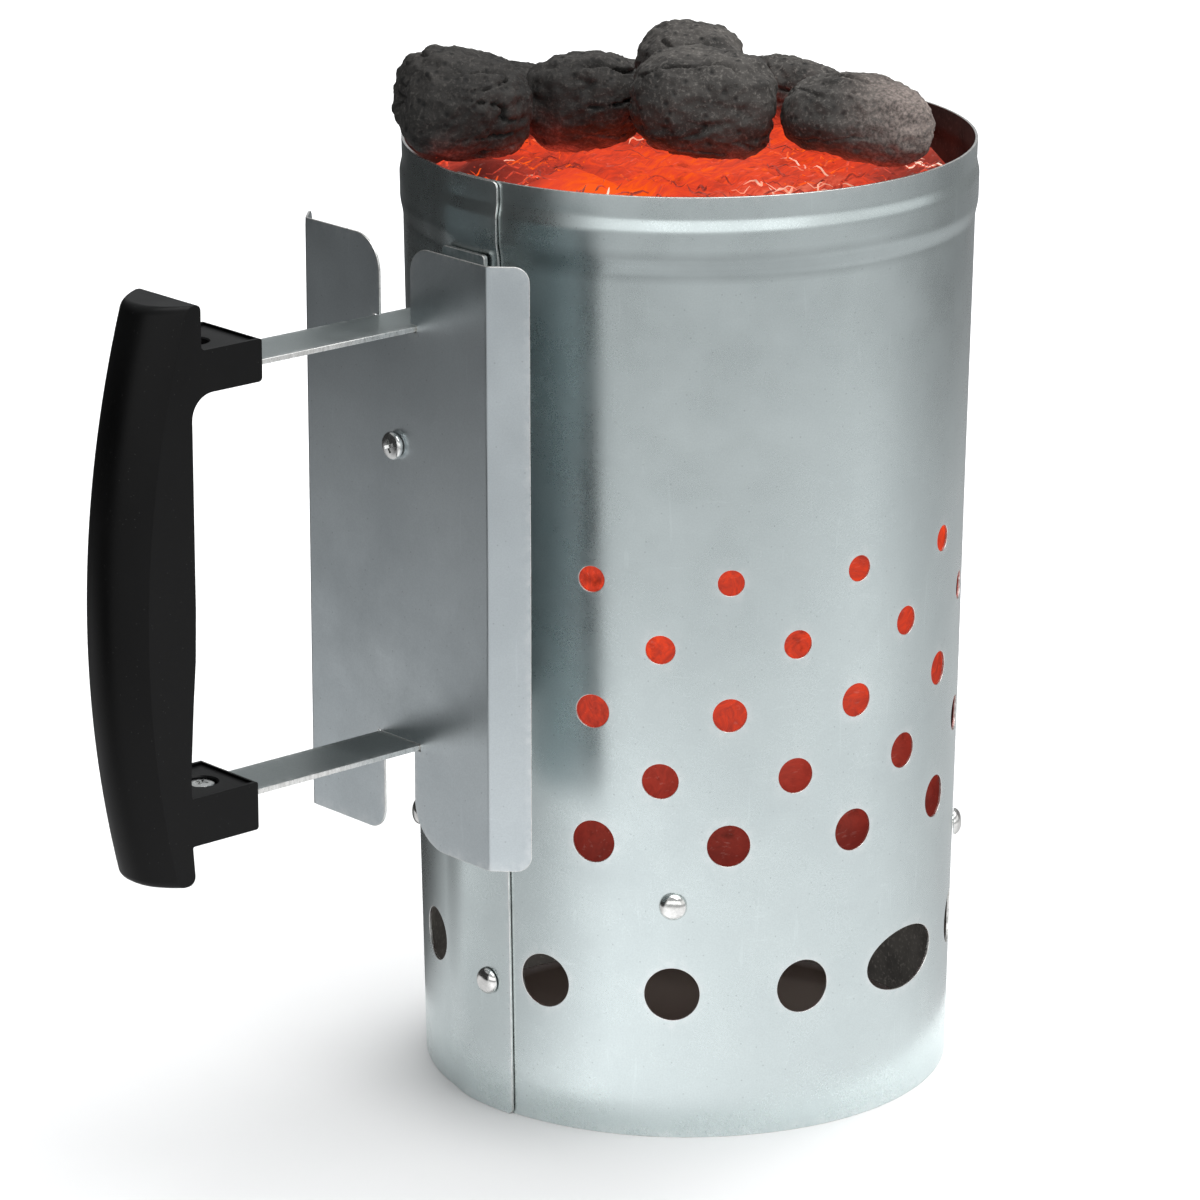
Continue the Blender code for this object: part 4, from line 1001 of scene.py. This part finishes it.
def cross_cutter(depth_from, depth_to):
    """Cross recess that narrows towards its floor."""
    bm = bmesh.new()
    rings = []
    for z, scale in ((depth_to, 0.62), (depth_from, 1.12)):
        long, short = RECESS_LENGTH / 2 * scale, RECESS_WIDTH / 2 * (0.5 + 0.5 * scale)
        arm = [Vector((long, -short)), Vector((long, short)), Vector((short, short))]
        outline = [Matrix.Rotation(pi / 2 * quarter, 2) @ point for quarter in range(4) for point in arm]
        rings.append([bm.verts.new((*point, z)) for point in outline])
    bm.faces.new(rings[0])
    bm.faces.new(rings[1])
    bridge(bm, rings)
    return bm


def build_screw(node, place, head_height, length, turn):
    screw = new_piece(f"{node}_pan_head", screw_mesh(node, head_height, length), SCREW_ZINC)
    cut(screw, cross_cutter(head_height + 0.6 * MM, head_height - RECESS_DEPTH))
    screw.data.set_sharp_from_angle(angle=radians(35))
    screw.data.transform(place @ Matrix.Rotation(radians(turn), 4, "Z"))
    return screw


def build_shield_screw():
    radius, _, _ = polar("shield_screw")
    angle, height = spot("shield_screw")
    seat = radius.max() - SHIELD_SCREW_HEAD
    place = facing_out(angle, seat, height)
    return build_screw("shield_screw", place, SHIELD_SCREW_HEAD, seat - radius.min(), 20)


def build_handle_screw(node, turn):
    low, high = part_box(node)
    seat = high.z - HANDLE_SCREW_HEAD
    place = Matrix.Translation(((low.x + high.x) / 2, (low.y + high.y) / 2, seat))
    return build_screw(node, place, HANDLE_SCREW_HEAD, seat - low.z, turn)


def build_spacer():
    """Tube between the wall and the shield."""
    angle, height = spot("shield_spacer")
    low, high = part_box("shield_spacer")
    start, length = AXIS.x - high.x, high.x - low.x
    outer, edge, ease = (high.z - low.z) / 2, 0.3 * MM, 0.2 * MM
    profile = [*arc(outer - edge, length - edge, edge, 90, 0, 4), *arc(outer - edge, edge, edge, 0, -90, 4),
               (BORE_RADIUS + ease, 0.0), (BORE_RADIUS, ease), (BORE_RADIUS, length - ease),
               (BORE_RADIUS + ease, length)]
    spacer = new_piece("shield_spacer_tube", finish_mesh("shield_spacer", revolve(profile, AROUND)), SCREW_ZINC)
    spacer.data.transform(facing_out(angle, start, height))
    return spacer


def build_nut():
    """Hexagon nut with its corners chamfered on both faces, turned as the CAD nut is."""
    low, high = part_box("shield_nut")
    angle, height = spot("shield_nut")
    start, thickness = AXIS.x - high.x, high.x - low.x
    corner = max(high.y - low.y, high.z - low.z) / 2
    bm = bmesh.new()
    bmesh.ops.create_cone(bm, cap_ends=True, segments=6, radius1=corner, radius2=corner, depth=thickness,
                          matrix=Matrix.Translation((0, 0, thickness / 2)))
    hexagon_turn = 0.0 if high.z - low.z > high.y - low.y else pi / 6
    bmesh.ops.rotate(bm, verts=bm.verts, cent=(0, 0, 0), matrix=Matrix.Rotation(hexagon_turn, 3, "Z"))
    nut = new_piece("shield_nut_hexagon", finish_mesh("shield_nut", bm), SCREW_ZINC)
    face, past = corner * 0.88, corner * 0.88 - MM * 1.7
    rim = [(corner * 1.3, thickness + MM), (past, thickness + MM), (face, thickness),
           (corner, thickness - NUT_CHAMFER), (corner, NUT_CHAMFER), (face, 0.0), (past, -MM),
           (corner * 1.3, -MM)]
    mouth, ease = BORE_RADIUS + 1.3 * MM, 0.3 * MM
    bore = [(0.0, thickness + MM), (mouth, thickness + MM), (BORE_RADIUS, thickness - ease),
            (BORE_RADIUS, ease), (mouth, -MM), (0.0, -MM)]
    cut(nut, revolve(rim, AROUND), revolve(bore, 32))
    nut.data.set_sharp_from_angle(angle=radians(25))
    nut.data.transform(facing_out(angle, start, height))
    return nut


# Grip


def side_view(reach, height, across):
    return Vector((AXIS.x - reach, -across, height))


def grip_inner_outline():
    """Side view of the inner face with both stubs, from the bottom end to the top end."""
    bottom, top = GRIP_LOW.z, GRIP_HIGH.z
    face = [(reach * MM, height * MM) for reach, height in GRIP_INNER_FACE]
    low, high = face[0][0], face[-1][0]
    corners = [(ridge_reach(bottom), bottom, 0), (GRIP_INNER_AT_BOTTOM, bottom, 2.4 * MM),
               (low, LOWER_STUB[0], 0.5 * MM), (LOWER_STUB_TIP, LOWER_STUB[0], 0.9 * MM),
               (LOWER_STUB_TIP, LOWER_STUB[1], 0.6 * MM), (low, LOWER_STUB[1], 0.8 * MM),
               *((reach, height, 0) for reach, height in face),
               (high, UPPER_STUB[0], 7.0 * MM), (UPPER_STUB_TIP, UPPER_STUB[0], 1.2 * MM),
               (UPPER_STUB_TIP, UPPER_STUB[1], 0.8 * MM), (GRIP_INNER_AT_TOP, UPPER_STUB[1], 1.2 * MM),
               (GRIP_INNER_AT_TOP, top, 1.6 * MM), (ridge_reach(top), top, 0)]
    points = []
    for corner, back, ahead, radius in walk(corners):
        centre = corner + (back + ahead) * radius
        first, last = corner + back * radius - centre, corner + ahead * radius - centre
        steps = max(4, int(radius / OUTLINE_SPACING))
        points += sweep_points(centre, first, first.angle_signed(last), steps) if radius else [corner]
    return points


def grip_share(height):
    return (height - GRIP_LOW.z) / (GRIP_HIGH.z - GRIP_LOW.z)


def blend(ends, share):
    return ends[0] + (ends[1] - ends[0]) * share


def ridge_reach(height):
    """Where the flat sides end: a shallow leaning arc, drawn in at the rounded ends."""
    share = grip_share(height)
    length = GRIP_HIGH.z - GRIP_LOW.z
    past = max(0.0, abs(share - 0.5) * length - (length / 2 - GRIP_END_ROUND)) / GRIP_END_ROUND
    drop = GRIP_END_ROUND * (1 - sqrt(max(0.0, 1 - past * past)))
    return blend(GRIP_END_REACH, share) + 4 * GRIP_BOW * share * (1 - share) - drop


def grip_heights():
    """Heights from top to bottom, closer together at the rounded ends."""
    middle, half = (GRIP_HIGH.z + GRIP_LOW.z) / 2, (GRIP_HIGH.z - GRIP_LOW.z) / 2
    body = np.linspace(half - GRIP_END_ROUND, GRIP_END_ROUND - half, GRIP_ROWS)
    turn = np.radians(np.linspace(80, 10, 6))
    end = half - GRIP_END_ROUND * (1 - np.sin(turn))
    return middle + np.concatenate([end, body, -end[::-1]])


def build_grip():
    """Two flat sides joined around the inner outline and by a crowned outer face."""
    half = (GRIP_HIGH.y - GRIP_LOW.y) / 2
    inner = grip_inner_outline()
    ridge = [Vector((ridge_reach(height), height)) for height in grip_heights()]
    outline = inner + ridge
    bm = bmesh.new()
    near = [bm.verts.new(side_view(x, z, half)) for x, z in outline]
    far = [bm.verts.new(side_view(x, z, -half)) for x, z in outline]
    bm.faces.new(near)
    bm.faces.new(reversed(far))
    bridge(bm, (near[:len(inner)], far[:len(inner)]), closed=False)
    stations = [len(inner) - 1, *range(len(inner), len(outline)), 0]
    columns = []
    for index in stations:
        reach, height = outline[index]
        column = [near[index]]
        for step in range(1, GRIP_COLUMNS):
            share = cos(pi * step / GRIP_COLUMNS)
            out = reach + blend(CROWN_DEPTH, grip_share(height)) * (1 - abs(share) ** CROWN_POWER)
            column.append(bm.verts.new(side_view(out, height, share * half)))
        columns.append([*column, far[index]])
    bridge(bm, list(zip(*columns)), closed=False)
    bm.faces.new(columns[0])
    bm.faces.new(columns[-1])
    weights = bm.edges.layers.float.new("bevel_weight_edge")
    bmesh.ops.recalc_face_normals(bm, faces=bm.faces)
    for edge in bm.edges:
        turn = degrees(edge.calc_face_angle(0.0))
        edge[weights] = 1.0 if turn > 50 else 0.8 if turn > 14 and is_ridge(edge, half) else 0.0
    grip = new_piece("handle_grip_moulding", finish_mesh("handle_grip", bm, 60), PLASTIC)
    add_modifier(grip, "BEVEL", width=0.9 * MM, segments=3, limit_method="WEIGHT")
    apply_modifiers(grip)
    cut(grip, *grip_cutters(half))
    grip.data.set_sharp_from_angle(angle=radians(32))
    add_modifier(grip, "WEIGHTED_NORMAL", keep_sharp=True)
    return grip


def is_ridge(edge, half):
    return all(abs(abs(vertex.co.y) - half) < 0.01 * MM for vertex in edge.verts)


def grip_cutters(half):
    """Strap pockets, recessed stub tops with a thin lip, and the screws' wells and bores."""
    pocket, lip, recess = STRAP_WIDTH / 2 + GAP, 1.1 * MM, 0.7 * MM
    for top, stub, tip, node in ((UPPER_STRAP_TOP, UPPER_STUB, UPPER_STUB_TIP, "upper_handle_screw"),
                                 (LOWER_STRAP_TOP, LOWER_STUB, LOWER_STUB_TIP, "lower_handle_screw")):
        yield box_mesh((AXIS.x - POCKET_TIP, -pocket, top - STRAP_THICKNESS - GAP),
                       (AXIS.x - tip + 4 * MM, pocket, top + GAP))
        yield box_mesh((AXIS.x - GRIP_INNER_AT_TOP + 0.9 * MM, -half + lip, stub[1] - recess),
                       (AXIS.x - tip - lip, half - lip, stub[1] + MM))
        low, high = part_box(node)
        seat, mouth = high.z - HANDLE_SCREW_HEAD - GAP, stub[1] - recess
        bm = revolve([(0.0, mouth + MM), (WELL_RADIUS + 1.4 * MM, mouth + MM), (WELL_RADIUS, mouth - 0.4 * MM),
                      (WELL_RADIUS, seat), (BORE_RADIUS, seat), (BORE_RADIUS, low.z - GAP),
                      (0.0, low.z - GAP)], 40)
        bmesh.ops.translate(bm, verts=bm.verts, vec=((low.x + high.x) / 2, 0, 0))
        yield bm


# Coals


def pitted(point, seed):
    """Height of the lumps, crumbs, pits and cracks at a point of a briquette."""
    here = point + Vector((seed * 3.1, seed * 1.7, seed * 2.3))
    lumps = noise.fractal(here * 44, 1.0, 2.1, 4)
    crumbs = noise.fractal(here * 320, 0.9, 2.2, 3)
    distances, _ = noise.voronoi(here * 210)
    pit = max(0.0, 0.42 - distances[0]) * max(0.0, noise.noise(here * 95) + 0.15)
    layers = abs(noise.noise(Vector((here.x * 40, here.y * 40, here.z * 190)) + Vector((7, 3, 1)) * seed))
    crack = max(0.0, 1 - layers / 0.07) * max(0.0, noise.noise(here * 50 + Vector((0, 0, 9))) + 0.10)
    facets = noise.voronoi(here * 38)[0]
    return (1.6 * lumps + 0.60 * crumbs - 4.2 * pit - 6.0 * crack + 3.2 * (0.5 - facets[0])) * MM


def build_briquette(node, seed):
    """Voxel remesh of the CAD pillow, then rough surface moved along its normals."""
    piece = new_piece(f"{node}_coal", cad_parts[node].data.copy())
    piece.data.materials.clear()
    piece.data.materials.append(CHARCOAL)
    add_modifier(piece, "REMESH", mode="VOXEL", voxel_size=COAL_VOXEL)
    add_modifier(piece, "SMOOTH", iterations=6)
    apply_modifiers(piece)
    normals = [vertex.normal.copy() for vertex in piece.data.vertices]
    for vertex, normal in zip(piece.data.vertices, normals):
        vertex.co += normal * (pitted(vertex.co, seed) - 0.25 * MM)
    piece.data.shade_smooth()
    return piece


def load_radius(height):
    return wall_radius(height) - SHEET - LOAD_CLEARANCE


def lump(point, scale):
    """Rounded lumps with creases between them: 0 in a crease, about 1 on a crown."""
    distances, _ = noise.voronoi(point * scale)
    return min(1.0, (distances[1] - distances[0]) * 1.6)


def build_ember_bed():
    """Lumpy glowing pile: a disc bottom, creased sides and an uneven top."""
    around, up, across = 220, 110, 34
    bm = bmesh.new()

    def ring(radius, height, rise):
        points = []
        for index in range(around):
            angle = tau * index / around
            point = at(radius, angle, height)
            crown = lump(point, 42)
            rough = noise.fractal(point * 190, 0.8, 2.1, 3)
            spread = 4.8 * MM * float(smooth_step(abs(angle - pi), 0.2, 0.5))
            if rise:
                ease = smooth_step(radius, 0.0, 12 * MM)
                point.z += ((crown - 0.55) * 5.5 + rough * 1.3) * MM * ease
            else:
                point += at(spread + ((crown - 1.0) * 2.8 + rough * 0.6) * MM, angle)
            points.append(bm.verts.new(point + AXIS))
        return points

    rings = [ring(load_radius(LOAD_BOTTOM) * share, LOAD_BOTTOM, False) for share in (0.3, 0.7, 0.95)]
    heights = np.linspace(LOAD_BOTTOM + MM, LOAD_TOP - 2 * MM, up)
    rings += [ring(load_radius(height), height, False) for height in heights]
    shares = np.linspace(0.97, 0.02, across)
    rings += [ring(load_radius(LOAD_TOP) * share, LOAD_TOP + 2.5 * MM, True) for share in shares]
    bridge(bm, rings)
    bm.faces.new(rings[0])
    bm.faces.new(rings[-1])
    return new_piece("ember_bed_glow", finish_mesh("ember_bed", bm, 180), EMBERS)


def build_fibres():
    """Slivers scattered over the bed, each a thin bent strip with tapered ends."""
    chance = random.Random(11)
    bm = bmesh.new()
    tone = bm.verts.layers.float.new("tone")
    for _ in range(FIBRES):
        distance = (load_radius(LOAD_TOP) - 3 * MM) * sqrt(chance.uniform(0.12, 1.0))
        angle = chance.uniform(0, tau)
        centre = AXIS + at(distance, angle)
        centre.z = LOAD_TOP + chance.uniform(1.5, 6.0) * MM
        heading = chance.uniform(0, tau)
        along = Vector((cos(heading), sin(heading), chance.uniform(-0.25, 0.25))).normalized()
        side = along.cross(Vector((0, 0, 1))).normalized()
        length, bend = chance.uniform(6, 16) * MM, chance.uniform(-3, 3) * MM
        width, shade = chance.uniform(0.22, 0.55) * MM, chance.random()
        rings = []
        for step in range(7):
            share = step / 6 - 0.5
            middle = centre + along * length * share + side * bend * (1 - 4 * share * share)
            middle.z += 0.8 * MM * sin(9 * share + shade * 6)
            thick = width * (1 - (2 * abs(share)) ** 3 * 0.85)
            ring = []
            for corner in range(5):
                turn = tau * corner / 5
                offset = side * cos(turn) * thick + Vector((0, 0, 1)) * sin(turn) * thick * 0.6
                vertex = bm.verts.new(middle + offset)
                vertex[tone] = shade
                ring.append(vertex)
            rings.append(ring)
        bridge(bm, rings)
        bm.faces.new(reversed(rings[0]))
        bm.faces.new(rings[-1])
    return new_piece("ember_slivers", finish_mesh("ember_slivers", bm, 60), FIBRE)


# Stage


def build_floor():
    bm = bmesh.new()
    bmesh.ops.create_grid(bm, x_segments=24, y_segments=24, size=9.0)
    floor = new_piece("floor", finish_mesh("floor", bm))
    nodes = Nodes("pale_floor")
    tone = nodes.tint(nodes.noise(1.3, 4.0), 0.3, 0.7, (0.86, 0.86, 0.86), (0.89, 0.89, 0.89))
    # Painted shade: the floor inside the base is darkened and tinted brown.
    under = near_place(nodes, AXIS, BASE_RADIUS - 6 * MM, BASE_RADIUS - 2 * MM, 1.0)
    tone = nodes.mix(under, tone, (0.40, 0.35, 0.31))
    floor.data.materials.append(nodes.finish(tone, 0.75, Specular_IOR_Level=0.1,
                                             Normal=nodes.bump(nodes.noise(600.0), 0.02, 0.1 * MM)))


def area_light(name, place, target, size, power):
    light = bpy.data.lights.new(name, "AREA")
    light.shape = "RECTANGLE"
    light.size, light.size_y = size
    light.energy = power
    lamp = new_piece(name, light)
    lamp.location = place
    lamp.rotation_euler = (Vector(target) - Vector(place)).to_track_quat("-Z", "Y").to_euler()
    return lamp


def around_view(turn, distance, height):
    """A point round the body, turned from the camera's side: positive is to the camera's right."""
    angle = VIEW_ANGLE + radians(turn)
    return AXIS + at(-distance, angle, height)


# Bearing in degrees, then the tone that steel reflects from the studio floor at each of the three distances:
# bearing 0 faces the lens and 90 is to its right. Dark flags stand to the left, with a darker gap on the right.
STUDIO_TONES = ((-180, 0.30, 0.30, 0.25), (-150, 0.06, 0.08, 0.03), (-120, 0.11, 0.12, 0.03),
                (-95, 0.78, 0.82, 0.05), (-70, 0.66, 0.04, 0.02), (-54, 0.74, 0.09, 0.03),
                (-45, 0.92, 0.95, 0.68), (-25, 1.28, 0.62, 0.44), (20, 1.06, 0.62, 0.48),
                (74, 0.98, 1.00, 0.50), (102, 0.76, 0.70, 0.34), (124, 0.62, 0.60, 0.22),
                (150, 0.66, 0.56, 0.30), (180, 0.30, 0.30, 0.25))
TONE_DISTANCES = (0.30, 0.60, 0.92)


def light_only(nodes, tone):
    return nodes.finish((0, 0, 0, 1), 0.5, Specular_IOR_Level=0.0, Emission_Color=tone, Emission_Strength=1.0)


def tone_ramp(nodes, bearing, column):
    node = nodes.add("ShaderNodeValToRGB")
    stops = node.color_ramp.elements
    while len(stops) < len(STUDIO_TONES):
        stops.new(0.5)
    for stop, row in zip(stops, STUDIO_TONES):
        stop.position = (row[0] + 180) / 360
        stop.color = (row[column], row[column], row[column] * 1.01, 1.0)
    return nodes.feed(node, Fac=bearing).outputs["Color"]


def build_reflection_floor():
    """Ring above the floor that only reflections see, toned as boards and flags would leave it."""
    inner, outer = 0.095, 4.0
    bm = bmesh.new()
    radii = [inner * (outer / inner) ** (step / 12) for step in range(13)]
    rings = [[bm.verts.new(at(r, a)) for a in np.linspace(0, tau, 97)[:-1]] for r in radii]
    bridge(bm, rings)
    ring = new_piece("studio_reflection", finish_mesh("studio_reflection", bm))
    nodes = Nodes("studio_reflection")
    x, y = nodes.axis("X"), nodes.axis("Y")
    bearing = nodes.ramp(nodes.math("ARCTAN2", y, x), -pi, pi)
    distance = nodes.math("SQRT", nodes.plus(nodes.times(x, x), nodes.times(y, y)))
    near, middle, far = TONE_DISTANCES
    tones = [tone_ramp(nodes, bearing, column) for column in (1, 2, 3)]
    tone = nodes.tint(distance, middle, far, nodes.tint(distance, near, middle, *tones[:2]), tones[2])
    ring.data.materials.append(light_only(nodes, tone))
    ring.location = AXIS + Vector((0, 0, 2 * MM))
    ring.rotation_euler = (0, 0, VIEW_ANGLE + pi)
    only_reflected(ring)


def only_reflected(piece):
    for ray in ("camera", "diffuse", "shadow", "transmission"):
        setattr(piece, f"visible_{ray}", False)


# Span of bearings, distance in metres, lowest and highest point, and tone of each reflected panel
PANELS = {"left_flag": ((-150, -49), 1.4, (0.0, 1.2), 0.04), "right_flag": ((108, 148), 1.4, (0.0, 1.0), 0.25),
          "back_flag_left": ((-178, -150), 1.4, (0.0, 0.42), 0.05),
          "back_flag_right": ((148, 170), 1.4, (0.0, 0.42), 0.25),
          "front_softbox": ((-38, 45), 1.8, (0.28, 1.05), 1.5),
          "side_softbox": ((45, 105), 1.8, (0.28, 1.05), 0.95)}


def build_panel(name, turns, distance, heights, tone):
    """Upright curved studio panel that only reflections see."""
    bm = bmesh.new()
    columns = [around_view(turn, distance, 0.0) for turn in np.linspace(*turns, 13)]
    rows = [[bm.verts.new(point + Vector((0, 0, z))) for point in columns] for z in heights]
    bridge(bm, rows, closed=False)
    panel = new_piece(name, finish_mesh(name, bm))
    nodes = Nodes(name)
    shade = nodes.tint(nodes.noise(2.0), 0.3, 0.7, (tone * 0.9,) * 3, (tone * 1.1,) * 3)
    panel.data.materials.append(light_only(nodes, shade))
    only_reflected(panel)


def build_lights():
    world = bpy.data.worlds.new("studio")
    bpy.context.scene.world = world
    world.use_nodes = True
    background = world.node_tree.nodes["Background"].inputs
    background["Color"].default_value = (0.93, 0.95, 0.96, 1)
    background["Strength"].default_value = 0.50
    area_light("overhead", around_view(60, 0.5, 1.7), AXIS, (1.6, 1.6), 24.0)
    behind = area_light("behind", around_view(170, 2.0, 1.9), around_view(180, 1.4, 0.0), (3.0, 2.2), 75.0)
    behind.visible_glossy = False
    build_reflection_floor()
    for name, panel in PANELS.items():
        build_panel(name, *panel)
    bpy.context.scene.view_settings.view_transform = "Standard"


def build_camera():
    camera = new_piece("camera", bpy.data.cameras.new("camera"))
    camera.location = around_view(0.0, CAMERA_DISTANCE, CAMERA_HEIGHT)
    camera.rotation_euler = (CAMERA_PITCH, 0.0, VIEW_ANGLE + CAMERA_AIM - pi / 2)
    camera.data.lens = CAMERA_LENS
    camera.data.sensor_width = 36.0
    camera.data.clip_start = 0.05
    bpy.context.scene.camera = camera


# Assembly

# Painted shade on the bead's lower slope: from its foot up to its crest, at this strength.
UNDER_BEAD = (BODY_HEIGHT - BEAD_BELOW_RIM[0], BODY_HEIGHT - BEAD_BELOW_RIM[1], 0.85)
BODY_ZINC = zinc_sheet("galvanised_body", (0.66, 0.735, 0.735), (0.59, 0.66, 0.665), 0.29, painted_shade=UNDER_BEAD)
SOOT_AND_PAINTED_GLOW = sooty_sheet_with_painted_glow()
SHIELD_ZINC = zinc_sheet("galvanised_plate", (0.60, 0.655, 0.675), (0.53, 0.585, 0.61), 0.36)
STRAP_ZINC = zinc_sheet("plated_strap", (0.43, 0.47, 0.47), (0.35, 0.39, 0.39), 0.42, 0.7)
EDGE = cut_edge()
RIVET_CHROME = plated("bright_rivet", (0.88, 0.88, 0.86), 0.13)
SCREW_ZINC = plated("zinc_screw", (0.82, 0.83, 0.82), 0.20, 0.06)
PLASTIC = moulded_plastic()
GRATE_STEEL = grate_steel()
CHARCOAL = charcoal()
EMBERS = embers()
FIBRE = ember_fibre()


def fit(piece, body, slot, *nodes):
    """Puts a finished piece on its body in place of its CAD nodes."""
    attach(piece, body)
    if nodes:
        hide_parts(*nodes)


def build_starter():
    for node, slot, build, *settings in (
            ("outer_shell", "galvanised_sheet", build_body),
            ("heat_shield", "galvanised_shield", build_shield),
            ("upper_strap", "strap_steel", build_strap, "upper_strap", True),
            ("lower_strap", "strap_steel", build_strap, "lower_strap", False),
            ("charcoal_grate", "grate_steel", build_grate),
            *((node, "rivet_steel", build_rivet, node) for node in RIVETS),
            ("shield_screw", "screw_steel", build_shield_screw),
            ("upper_handle_screw", "screw_steel", build_handle_screw, "upper_handle_screw", 12),
            ("lower_handle_screw", "screw_steel", build_handle_screw, "lower_handle_screw", 38),
            ("shield_spacer", "screw_steel", build_spacer),
            ("shield_nut", "screw_steel", build_nut),
            ("handle_grip", "moulded_black", build_grip)):
        fit(build(*settings), "starter", slot, node)


def build_load():
    fit(build_ember_bed(), "charcoal_load", "ember", "ember_bed")
    fit(build_fibres(), "charcoal_load", "ember")
    briquettes = sorted(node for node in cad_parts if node.startswith("briquette"))
    for seed, node in enumerate(briquettes, 1):
        fit(build_briquette(node, seed), "charcoal_load", "charcoal", node)


build_camera()
build_starter()
build_load()
build_floor()
build_lights()
